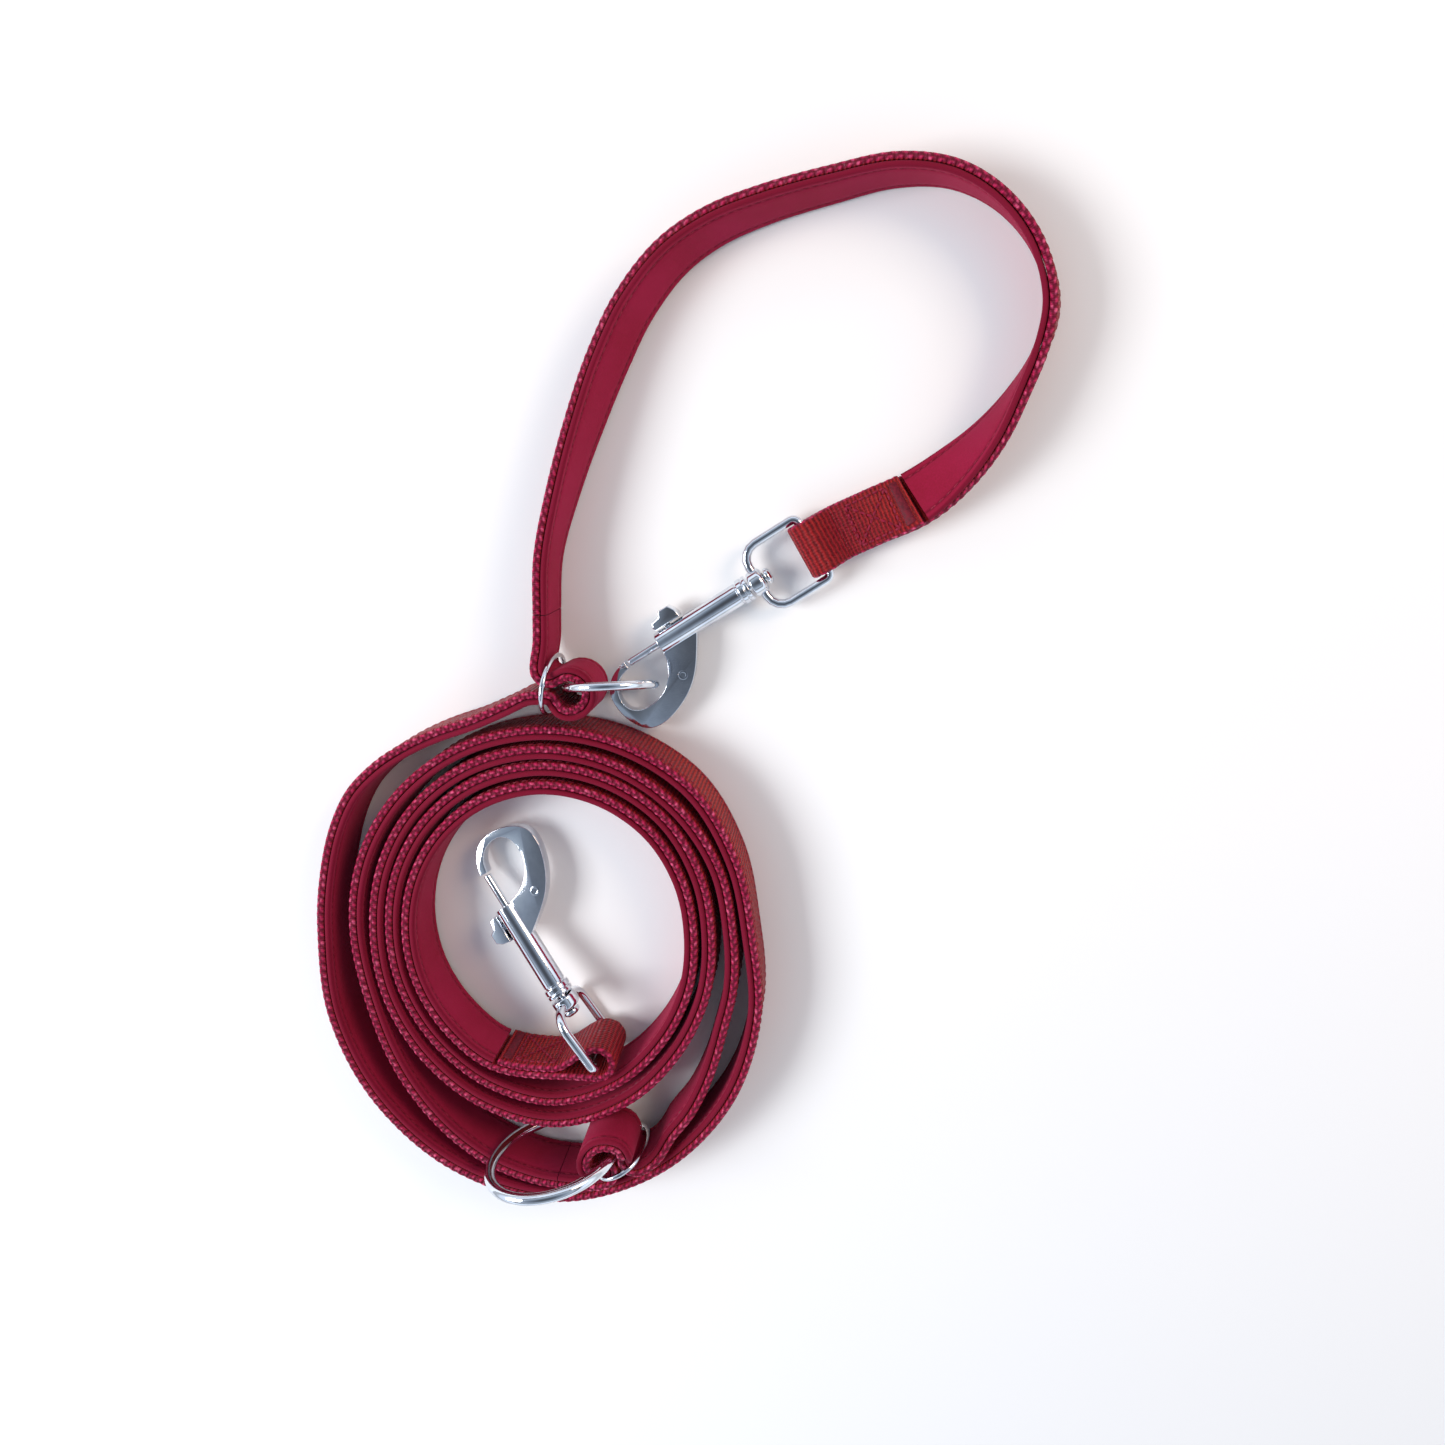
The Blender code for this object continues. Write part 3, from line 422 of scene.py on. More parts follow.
def rounded_outline(points, corners, steps):
    """A smooth closed outline through the points that keeps the numbered points as corners."""
    count = len(points)
    outline = []
    for i in range(count):
        p1, p2 = points[i], points[(i + 1) % count]
        p0 = p1 if i in corners else points[i - 1]
        p3 = p2 if (i + 1) % count in corners else points[(i + 2) % count]
        parts = 1 if i in corners and (i + 1) % count in corners else steps
        outline += [catmull_rom(p0, p1, p2, p3, step / parts) for step in range(parts)]
    return outline


def eye_path():
    """Rectangle of the eye's wire centre with rounded corners, tight at the bar and wide at the front."""
    half = (EYE_WIDTH + EYE_WIRE) / 2
    path = []
    corners = (
        (EYE_LENGTH, half, EYE_FRONT_CORNER, 90), (0, half, EYE_BAR_CORNER, 180),
        (0, -half, EYE_BAR_CORNER, 270), (EYE_LENGTH, -half, EYE_FRONT_CORNER, 0),
    )
    steps = 4
    for x, z, radius, end_angle in corners:
        centre_x = x - radius if x else radius
        centre_z = z - radius if z > 0 else z + radius
        for step in range(steps + 1):
            angle = math.radians(end_angle - 90 + 90 * step / steps)
            path.append((centre_x + radius * math.cos(angle), centre_z + radius * math.sin(angle)))
    return path


def frame_from(origin, x_axis, y_axis):
    z_axis = x_axis.cross(y_axis)
    rotation = Matrix((x_axis, y_axis, z_axis)).transposed().to_4x4()
    return Matrix.Translation(origin) @ rotation


def in_row(point):
    """A point of the layout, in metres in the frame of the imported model."""
    return (Vector(point) - Vector(BASE_CENTRE)) * METRES


# ---------------------------------------------------------------- materials
class Nodes:
    """Short calls for building one material's node tree."""

    def __init__(self, name):
        self.material = bpy.data.materials.new(name)
        self.material.use_nodes = True
        self.tree = self.material.node_tree
        self.shader = self.tree.nodes["Principled BSDF"]

    def add(self, kind, **values):
        node = self.tree.nodes.new(kind)
        for key, value in values.items():
            setattr(node, key, value)
        return node

    def link(self, source, target):
        self.tree.links.new(source, target)

    def math(self, operation, a, b=None, c=None):
        node = self.add("ShaderNodeMath", operation=operation)
        for socket, value in zip(node.inputs, (a, b, c)):
            if isinstance(value, (int, float)):
                socket.default_value = value
            elif value is not None:
                self.link(value, socket)
        return node.outputs[0]

    def mix(self, factor, a, b):
        node = self.add("ShaderNodeMix", data_type="RGBA")
        for socket, value in zip((node.inputs[0], node.inputs[6], node.inputs[7]), (factor, a, b)):
            if isinstance(value, (int, float)):
                socket.default_value = value
            elif isinstance(value, tuple):
                socket.default_value = (*value, 1.0)
            else:
                self.link(value, socket)
        return node.outputs[2]

    def noise(self, vector, scale, detail=2.0, roughness=0.5):
        node = self.add("ShaderNodeTexNoise")
        node.inputs["Scale"].default_value = scale
        node.inputs["Detail"].default_value = detail
        node.inputs["Roughness"].default_value = roughness
        self.link(vector, node.inputs["Vector"])
        return node.outputs["Fac"]

    def spread(self, value, low, high, new_low=0.0, new_high=1.0):
        node = self.add("ShaderNodeMapRange")
        self.link(value, node.inputs["Value"])
        limits = (("From Min", low), ("From Max", high), ("To Min", new_low), ("To Max", new_high))
        for name, number in limits:
            node.inputs[name].default_value = number
        return node.outputs["Result"]

    def bump(self, height, strength, distance):
        node = self.add("ShaderNodeBump")
        node.inputs["Strength"].default_value = strength
        node.inputs["Distance"].default_value = distance
        self.link(height, node.inputs["Height"])
        self.link(node.outputs["Normal"], self.shader.inputs["Normal"])

    def attribute(self, name):
        return self.add("ShaderNodeAttribute", attribute_name=name).outputs["Fac"]

    def place(self):
        return self.add("ShaderNodeTexCoord").outputs["Object"]

    def along_and_across(self):
        split = self.add("ShaderNodeSeparateXYZ")
        self.link(self.add("ShaderNodeUVMap", uv_map="strap").outputs["UV"], split.inputs[0])
        return split.outputs[0], split.outputs[1]

    def set(self, **values):
        for name, value in values.items():
            self.shader.inputs[name.replace("_", " ")].default_value = value


def webbing_material():
    """Ribbed face in orange red and crimson with painted shade in the rib hollows, and a beaded selvedge
    with painted highlights and sparkle on the bead tops and painted shade between the beads.
    """
    n = Nodes("webbing_weave")
    along, across = n.along_and_across()
    glint, edge = n.attribute("glint"), n.attribute("edge")
    place = n.place()
    weave_turn = n.math("MULTIPLY", n.math("PINGPONG", across, 1.6), 0.12)
    rib = n.math("SINE", n.math("MULTIPLY", n.math("ADD", along, weave_turn), 2 * math.pi / RIB_PITCH))
    thread = n.math("SINE", n.math("MULTIPLY", across, 2 * math.pi / THREAD_PITCH))
    rib_height = n.spread(rib, -1, 1)
    weave = n.math("MULTIPLY_ADD", n.spread(thread, -1, 1), 0.35, rib_height)
    broad = n.noise(place, 22.0, 3.0)
    fine = n.noise(place, 900.0, 2.0)
    face = n.mix(n.spread(broad, 0.35, 0.65), (0.25, 0.004, 0.020), (0.43, 0.018, 0.010))
    # Painted shade: the hollows between the ribs are darkened.
    face = n.mix(n.math("SUBTRACT", 1.0, rib_height), face, (0.085, 0.002, 0.006))
    face = n.mix(n.spread(fine, 0.35, 0.75, 0.0, 0.35), face, (0.46, 0.035, 0.03))
    # Painted highlight on the selvedge's bead tops and painted shade between the beads.
    selvedge = n.mix(n.math("POWER", glint, 1.6), (0.14, 0.002, 0.020), (0.60, 0.022, 0.11))
    # Painted sparkle: small bright glints on the bead tops.
    sparkle = n.spread(n.noise(place, 420.0, 1.0), 0.56, 0.66)
    sparkle = n.math("MULTIPLY", sparkle, n.math("MULTIPLY", glint, 0.6))
    selvedge = n.mix(sparkle, selvedge, (0.95, 0.17, 0.33))
    n.link(n.mix(edge, face, selvedge), n.shader.inputs["Base Color"])
    n.link(n.spread(fine, 0.3, 0.7, 0.34, 0.6), n.shader.inputs["Roughness"])
    n.bump(n.math("MULTIPLY_ADD", fine, 0.35, weave), 0.9, 0.00045)
    n.set(Sheen_Weight=0.06, Sheen_Roughness=0.4, Sheen_Tint=(1.0, 0.3, 0.45, 1.0), Specular_IOR_Level=0.16)
    return n.material


def lining_material():
    """Soft raspberry lining: a close nap, with painted shade in the sewn grooves and on the rounded edges.
    """
    n = Nodes("lining_nap")
    place = n.place()
    groove_shade = n.attribute("glint")
    cloud = n.noise(place, 35.0, 3.0)
    nap = n.noise(place, 1500.0, 3.0, 0.7)
    colour = n.mix(n.spread(cloud, 0.35, 0.65), (0.235, 0.006, 0.025), (0.285, 0.009, 0.04))
    colour = n.mix(n.spread(nap, 0.35, 0.75, 0.0, 0.5), colour, (0.36, 0.014, 0.06))
    # Painted shade in the sewn grooves.
    colour = n.mix(n.math("MULTIPLY", groove_shade, 0.7), colour, (0.09, 0.003, 0.012))
    # Painted shade on the lining's rounded edges, which lie down between the webbing strips.
    colour = n.mix(n.math("MULTIPLY", n.attribute("edge"), 0.65), colour, (0.13, 0.003, 0.015))
    n.link(colour, n.shader.inputs["Base Color"])
    n.link(n.spread(nap, 0.3, 0.7, 0.72, 0.95), n.shader.inputs["Roughness"])
    n.bump(n.math("MULTIPLY_ADD", cloud, 0.4, nap), 0.35, 0.0003)
    n.set(Sheen_Weight=0.12, Sheen_Roughness=0.5, Sheen_Tint=(1.0, 0.3, 0.5, 1.0), Specular_IOR_Level=0.1)
    return n.material


def thread_material(name, dark, light):
    n = Nodes(name)
    place = n.place()
    twist = n.noise(place, 1100.0, 2.0)
    cloud = n.noise(place, 60.0, 2.0)
    colour = n.mix(n.spread(twist, 0.35, 0.7), dark, light)
    n.link(n.mix(n.spread(cloud, 0.3, 0.7, 0.0, 0.3), colour, dark), n.shader.inputs["Base Color"])
    n.link(n.spread(twist, 0.3, 0.7, 0.4, 0.65), n.shader.inputs["Roughness"])
    n.bump(twist, 0.4, 0.0002)
    n.set(Specular_IOR_Level=0.25)
    return n.material


def chrome_material():
    """Polished plating: fine rubbing marks and slightly dull patches."""
    n = Nodes("polished_chrome")
    place = n.place()
    patch = n.noise(place, 90.0, 3.0)
    stretched = n.add("ShaderNodeMapping")
    stretched.inputs["Scale"].default_value = (1.0, 6.0, 6.0)
    n.link(place, stretched.inputs["Vector"])
    rub = n.noise(stretched.outputs["Vector"], 700.0, 2.0)
    colour = n.mix(n.spread(patch, 0.4, 0.7), (0.80, 0.83, 0.87), (0.60, 0.63, 0.69))
    n.link(colour, n.shader.inputs["Base Color"])
    dull = n.spread(patch, 0.35, 0.75, 0.04, 0.12)
    n.link(n.math("MULTIPLY_ADD", n.spread(rub, 0.55, 0.8), 0.08, dull), n.shader.inputs["Roughness"])
    n.bump(n.math("MULTIPLY_ADD", rub, 0.3, patch), 0.06, 0.0004)
    n.set(Metallic=1.0)
    return n.material


def floor_material():
    n = Nodes("floor")
    colour = n.mix(n.noise(n.place(), 3.0, 2.0), (0.91, 0.91, 0.905), (0.93, 0.93, 0.925))
    n.link(colour, n.shader.inputs["Base Color"])
    n.set(Roughness=0.9, Specular_IOR_Level=0.1)
    return n.material


# ---------------------------------------------------------------- meshes
class Sheaf:
    """Collects the parts of one piece, with the numbers that its material reads."""

    def __init__(self):
        self.verts, self.faces, self.glint, self.edge, self.uv = [], [], [], [], []

    def add_vert(self, point, glint=0.0, edge=0.0, uv=(0.0, 0.0)):
        self.verts.append(in_row(point))
        self.glint.append(glint)
        self.edge.append(edge)
        self.uv.append(uv)
        return len(self.verts) - 1

    def add_rows(self, rows, closed=False):
        count = len(rows[0])
        pairs = list(zip(rows, rows[1:]))
        if closed:
            pairs.append((rows[-1], rows[0]))
        for row, next_row in pairs:
            for k in range(count):
                n = (k + 1) % count
                self.faces.append((row[k], row[n], next_row[n], next_row[k]))
        if not closed:
            self.faces.append(tuple(reversed(rows[0])))
            self.faces.append(tuple(rows[-1]))

    def tube(self, path, radius, sides, closed=False, flat=None):
        """A round rod along the points; flat gives a direction that stays in the plane of the bend."""
        rows = []
        count = len(path)
        side = None
        for i, place in enumerate(path):
            before = path[i - 1] if i or closed else place
            after = path[(i + 1) % count] if i + 1 < count or closed else place
            forward = (after - before).normalized()
            if flat is not None:
                side = flat.cross(forward).normalized()
            elif side is None:
                side = forward.orthogonal().normalized()
            else:
                side = (side - forward * side.dot(forward)).normalized()
            up = forward.cross(side)
            rows.append([
                self.add_vert(place + (side * math.cos(t) + up * math.sin(t)) * radius)
                for t in (2 * math.pi * k / sides for k in range(sides))
            ])
        self.add_rows(rows, closed)

    def stitch(self, start, end, radius):
        """One short stitch that dips into the cloth at both ends."""
        run = end - start
        side = run.orthogonal().normalized()
        up = run.normalized().cross(side)
        rows = [
            [self.add_vert(start + run * t + (side * math.cos(a) + up * math.sin(a)) * radius * s)
             for a in (math.pi * k / 3 for k in range(6))]
            for t, s in ((0.0, 0.35), (0.2, 0.9), (0.8, 0.9), (1.0, 0.35))
        ]
        self.add_rows(rows)

    def turned(self, profile, place, segments=TURN_SEGMENTS, ring=False):
        """A profile of (along X, radius) pairs turned round the X axis of a local frame."""
        rows = []
        for along, radius in profile:
            reach = max(radius, 0.02)
            rows.append([
                self.add_vert(place @ Vector((along, reach * math.cos(a), reach * math.sin(a))))
                for a in (2 * math.pi * k / segments for k in range(segments))
            ])
        self.add_rows(rows, closed=ring)

    def build(self, name, material, body, replaces=(), smooth=50.0):
        mesh = bpy.data.meshes.new(name)
        mesh.from_pydata(self.verts, [], self.faces)
        work = bmesh.new()
        work.from_mesh(mesh)
        bmesh.ops.recalc_face_normals(work, faces=work.faces)
        work.to_mesh(mesh)
        work.free()
        for key, values in (("glint", self.glint), ("edge", self.edge)):
            mesh.attributes.new(key, "FLOAT", "POINT").data.foreach_set("value", values)
        layer = mesh.uv_layers.new(name="strap")
        flat = [number for loop in mesh.loops for number in self.uv[loop.vertex_index]]
        layer.data.foreach_set("uv", flat)
        mesh.materials.append(material)
        mesh.shade_smooth()
        mesh.set_sharp_from_angle(angle=math.radians(smooth))
        thing = bpy.data.objects.new(name, mesh)
        bpy.context.collection.objects.link(thing)
        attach(thing, body)
        for node in replaces:
            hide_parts(node)
        return thing


# ---------------------------------------------------------------- strap
def webbing_section(along):
    """Points round the webbing: outwards, across, height of the bead there, and share of selvedge."""
    half, thick = STRAP_WIDTH / 2, WEBBING_THICKNESS / 2
    straight = half - EDGE_RADIUS
    section = []
    outer, inner = FACE_COLUMNS
    for k in range(outer + 1):
        section.append((thick, -straight + 2 * straight * k / outer, 0.0, 0.0))
    for side in (1, -1):
        for k in range(1, SELVEDGE_STEPS):
            turn = math.pi * k / SELVEDGE_STEPS
            offset = turn / math.pi - 0.5
            phase = along / BEAD_PITCH + abs(offset) * 0.9 + (0.5 if offset < 0 else 0.0)
            bead = (0.5 + 0.5 * math.cos(2 * math.pi * phase)) * (1 - math.exp(-((offset / 0.09) ** 2)))
            reach = EDGE_RADIUS - BEAD_HEIGHT + BEAD_HEIGHT * bead
            outward = math.cos(turn) * (thick - 0.1 + 0.1 * bead)
            share = min(1.0, math.sin(turn) * 1.5)
            section.append((outward * side, side * (straight + reach * math.sin(turn)), bead, share))
        if side == 1:
            for k in range(inner + 1):
                section.append((-thick, straight - 2 * straight * k / inner, 0.0, 0.0))
    return section


def lining_section(along):
    """Points round the lining; the sewn grooves run along its free face."""
    half, thick = LINING_WIDTH / 2, LINING_THICKNESS / 2
    pull = 0.5 + 0.5 * math.cos(2 * math.pi * along / STITCH_PITCH)
    section = []
    for across in LINING_COLUMNS:
        depth = math.exp(-(((abs(across) - GROOVE_OFFSET) / GROOVE_WIDTH) ** 2))
        sink = GROOVE_DEPTH * depth * (0.75 + 0.25 * pull)
        section.append((-thick + sink, across, depth, 0.0))
    for side in (1, -1):
        for k in range(1, LINING_EDGE_STEPS):
            turn = math.pi * k / LINING_EDGE_STEPS
            across = side * (LINING_FLAT + (half - LINING_FLAT) * math.sin(turn))
            section.append((-math.cos(turn) * thick * side, across, 0.0, 1.0))
        if side == 1:
            last = LINING_COLUMNS[-1]
            section += [(thick, last, 0.0, 0.0), (thick, 0.0, 0.0, 0.0), (thick, -last, 0.0, 0.0)]
    return section


def strap_stations(route, start, end, offset, step):
    """Places along a layer of the strap, with the width direction and the distance."""
    count = max(2, int((end - start) / step))
    stations = []
    for i in range(count + 1):
        distance = start + (end - start) * i / count
        place, _, left, across = route.frame(distance)
        stations.append((place + left * offset, across, distance))
    return stations


def fold_stations(route, at_start, radius, blend):
    """The fold round the cross bar and the flap behind it, from the bar outwards."""
    bar_end = 0.0 if at_start else route.length
    inward = 1 if at_start else -1
    place, forward, left, across = route.frame(bar_end)
    outward = -forward * inward
    centre = place + left * (WEBBING_OFFSET - radius)
    stations = []
    arc_steps = int(math.pi * radius / ROW_STEP)
    for step in range(1, arc_steps + 1):
        angle = math.pi * step / arc_steps
        reach = (left * math.cos(angle) + outward * math.sin(angle)) * radius
        stations.append((centre + reach, across, route.length + radius * angle))
    flap_steps = int(FLAP_LENGTH / ROW_STEP)
    for step in range(1, flap_steps - 3):
        distance = FLAP_LENGTH * step / flap_steps
        place, left, across, offset = flap_place(route, at_start, distance, radius, blend)
        stations.append((place + left * offset, across, route.length + math.pi * radius + distance))
    return stations


def flap_place(route, at_start, distance, radius, blend):
    bar_end = 0.0 if at_start else route.length
    place, _, left, across = route.frame(bar_end + (distance if at_start else -distance))
    share = smooth_share(distance / blend)
    return place, left, across, (WEBBING_OFFSET - 2 * radius) * (1 - share) + FLAP_OFFSET * share


def sweep(sheaf, stations, section_at):
    rows = []
    for i, (place, across, distance) in enumerate(stations):
        before, after = stations[max(i - 1, 0)][0], stations[min(i + 1, len(stations) - 1)][0]
        left = across.cross(after - before).normalized()
        rows.append([
            sheaf.add_vert(place + left * out + across * wide, glint, edge, (distance, wide))
            for out, wide, glint, edge in section_at(distance)
        ])
    sheaf.add_rows(rows)


def stitch_rows(sheaf, route, start, end):
    """Lockstitches in the lining's grooves and on the webbing's face opposite them."""
    count = int((end - start) / STITCH_PITCH)
    groove_face = LINING_OFFSET - LINING_THICKNESS / 2 + GROOVE_DEPTH * 0.7
    web_face = WEBBING_OFFSET + WEBBING_THICKNESS / 2
    for i in range(count):
        first = start + (end - start) * (i + 0.5) / count - STITCH_LENGTH / 2
        ends = [route.frame(first), route.frame(first + STITCH_LENGTH)]
        for face in (groove_face, web_face):
            for side in (-1, 1):
                shift = side * GROOVE_OFFSET
                a, b = [place + left * face + across * shift for place, _, left, across in ends]
                sheaf.stitch(a, b, STITCH_RADIUS)


def flap_stitches(sheaf, route, at_start, radius, blend, lines):
    """Stitches on the flap's free face along lines given as (distance, across) pairs."""
    def spot(distance, wide):
        place, left, across, offset = flap_place(route, at_start, distance, radius, blend)
        return place + left * (offset - WEBBING_THICKNESS / 2 - FLAP_STITCH_LIFT) + across * wide

    for (d0, w0), (d1, w1), pitch, length in lines:
        count = max(1, int(math.hypot(d1 - d0, w1 - w0) / pitch))
        share = min(length / pitch, 1.0)
        for i in range(count):
            t0 = (i + (1 - share) / 2) / count
            t1 = (i + (1 + share) / 2) / count
            sheaf.stitch(spot(d0 + (d1 - d0) * t0, w0 + (w1 - w0) * t0),
                         spot(d0 + (d1 - d0) * t1, w0 + (w1 - w0) * t1), FLAP_STITCH_RADIUS)


BOX_LINES = tuple((start, end, BOX_PITCH, BOX_STITCH) for start, end in (
    ((BOX_NEAR, -BOX_HALF), (BOX_FAR, -BOX_HALF)), ((BOX_NEAR, BOX_HALF), (BOX_FAR, BOX_HALF)),
    ((BOX_NEAR, -BOX_HALF), (BOX_NEAR, BOX_HALF)), ((BOX_FAR, -BOX_HALF), (BOX_FAR, BOX_HALF)),
    ((BOX_NEAR, -BOX_HALF), (BOX_FAR, BOX_HALF)), ((BOX_NEAR, BOX_HALF), (BOX_FAR, -BOX_HALF)),
))


def tack_lines():
    """Dense zigzag of the bar tack near the flap's end."""
    near, far = [FLAP_LENGTH - back for back in TACK_TO_END]
    lines = []
    for i in range(TACK_TURNS):
        wide = -TACK_WIDTH / 2 + TACK_WIDTH * i / TACK_TURNS
        middle, after = wide + TACK_WIDTH / TACK_TURNS / 2, wide + TACK_WIDTH / TACK_TURNS
        lines.append(((near, wide), (far, middle), TACK_STITCH, TACK_STITCH))
        lines.append(((far, middle), (near, after), TACK_STITCH, TACK_STITCH))
    return lines


def build_strap(webbing, lining, thread, dark_thread):
    route = Route()
    first_join, second_join = route.joins
    folds = {
        "inner_coil": fold_stations(route, True, START_FOLD_RADIUS, START_FLAP_BLEND),
        "handle": fold_stations(route, False, END_FOLD_RADIUS, END_FLAP_BLEND),
    }
    lengths = (
        ("inner_coil", 0.0, first_join), ("outer_coil", first_join + GAP, second_join),
        ("handle", second_join + GAP, route.length),
    )
    for name, start, end in lengths:
        stations = strap_stations(route, start, end, WEBBING_OFFSET, ROW_STEP)
        if name == "inner_coil":
            stations = folds[name][::-1] + stations
        elif name == "handle":
            stations = stations + folds[name]
        sheaf = Sheaf()
        sweep(sheaf, stations, webbing_section)
        web = sheaf.build(name + "_woven_webbing", webbing, "strap", [name + "_webbing"])
        lined_from = start if start else FLAP_LENGTH
        lined_to = end if end < route.length else route.length - FLAP_LENGTH
        sheaf = Sheaf()
        sweep(sheaf, strap_stations(route, lined_from, lined_to, LINING_OFFSET, LINING_STEP), lining_section)
        soft = sheaf.build(name + "_soft_lining", lining, "strap", [name + "_lining"])
        sheaf = Sheaf()
        stitch_rows(sheaf, route, lined_from + 1.5, lined_to - 1.5)
        sewn = sheaf.build(name + "_lockstitches", thread, "strap")
        if name != "outer_coil":
            at_start = name == "inner_coil"
            radius = START_FOLD_RADIUS if at_start else END_FOLD_RADIUS
            blend = START_FLAP_BLEND if at_start else END_FLAP_BLEND
            tack_node = ("coil" if at_start else "handle") + "_end_bar_tack"
            sheaf = Sheaf()
            flap_stitches(sheaf, route, at_start, radius, blend, BOX_LINES)
            sheaf.build(name + "_box_stitches", thread, "strap")
            sheaf = Sheaf()
            flap_stitches(sheaf, route, at_start, radius, blend, tack_lines())
            sheaf.build(name + "_bar_tack_zigzag", dark_thread, "strap", [tack_node])


# ---------------------------------------------------------------- rings
def ring_path(size, centre, heading, lean, squeeze=1.0, segments=160):
    outer, wire = size
    run, aside = directions(heading)
    tilt = math.radians(lean)
    rise = Vector((0, 0, 1)) * math.cos(tilt) + aside * math.sin(tilt)
    middle = (outer - wire) / 2
    path = []
    for i in range(segments):
        turn = 2 * math.pi * i / segments
        path.append(centre + run * (squeeze * middle * math.cos(turn)) + rise * (middle * math.sin(turn)))
    return path, run.cross(rise)


def build_rings(chrome):
    for name, bight in (("lower_small_ring", LOWER_BIGHT), ("upper_small_ring", UPPER_BIGHT)):
        centre = Vector((bight["x"], bight["y"], 0)) + directions(bight["heading"])[0] * RING_PAST_NECK
        centre.z = SMALL_RING[0] / 2 + RESTING_GAP
        path, normal = ring_path(SMALL_RING, centre, bight["heading"] - 90, 0, SMALL_RING_SQUEEZE)
        sheaf = Sheaf()
        sheaf.tube(path, SMALL_RING[1] / 2, WIRE_SIDES, True, normal)
        sheaf.build(name + "_wire", chrome, "strap", [name])
    places = (
        ("lower_large_ring", "lower_ring", LOWER_RING, LOWER_BIGHT, LOWER_RING_HEADING, LOWER_RING_LEAN,
         LOWER_RING_REACH),
        ("upper_large_ring", "upper_ring", UPPER_RING, UPPER_BIGHT, UPPER_RING_HEADING, UPPER_RING_LEAN,
         UPPER_RING_REACH),
    )
    for name, body, size, bight, heading, lean, reach in places:
        run, aside = directions(heading)
        centre = lobe_centre(bight) + run * reach[0] + aside * reach[1]
        centre.z = (size[0] - size[1]) / 2 * math.cos(math.radians(lean)) + size[1] / 2 + RESTING_GAP
        path, normal = ring_path(size, centre, heading, lean)
        sheaf = Sheaf()
        sheaf.tube(path, size[1] / 2, WIRE_SIDES, True, normal)
        sheaf.build(name + "_wire", chrome, body, [name])


# ---------------------------------------------------------------- snap hooks
def prism(outline, thickness, place, name, material, body, bevel, replaces=()):
    """A flat outline with rounded rims."""
    work = bmesh.new()
    low = [work.verts.new(in_row(place @ Vector((x, y, -thickness / 2)))) for x, y in outline]
    high = [work.verts.new(in_row(place @ Vector((x, y, thickness / 2)))) for x, y in outline]
    faces = [work.faces.new(low[::-1]), work.faces.new(high)]
    for k in range(len(outline)):
        n = (k + 1) % len(outline)
        work.faces.new((low[k], low[n], high[n], high[k]))
    bmesh.ops.recalc_face_normals(work, faces=work.faces)
    rims = [edge for edge in work.edges if any(face in faces for face in edge.link_faces)]
    bmesh.ops.bevel(work, geom=rims, offset=bevel * METRES, segments=4, profile=0.5, affect="EDGES",
                    clamp_overlap=True)
    mesh = bpy.data.meshes.new(name)
    work.to_mesh(mesh)
    work.free()
    mesh.materials.append(material)
    mesh.shade_smooth()
    mesh.set_sharp_from_angle(angle=math.radians(40))
    thing = bpy.data.objects.new(name, mesh)
    bpy.context.collection.objects.link(thing)
    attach(thing, body)
    for node in replaces:
        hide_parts(node)


def rounded_profile(points, radius):
    """Rounds each corner of an open (along, radius) profile that isn't on the axis."""
    rounded = [points[0]]
    for before, here, after in zip(points, points[1:], points[2:]):
        a, b, c = Vector(before), Vector(here), Vector(after)
        cut = min(radius, (a - b).length * 0.45, (c - b).length * 0.45)
        start, end = b + (a - b).normalized() * cut, b + (c - b).normalized() * cut
        for t in (0.0, 0.25, 0.5, 0.75, 1.0):
            spot = start * (1 - t) ** 2 + b * (2 * t * (1 - t)) + end * t ** 2
            rounded.append((spot.x, spot.y))
    return rounded + [points[-1]]


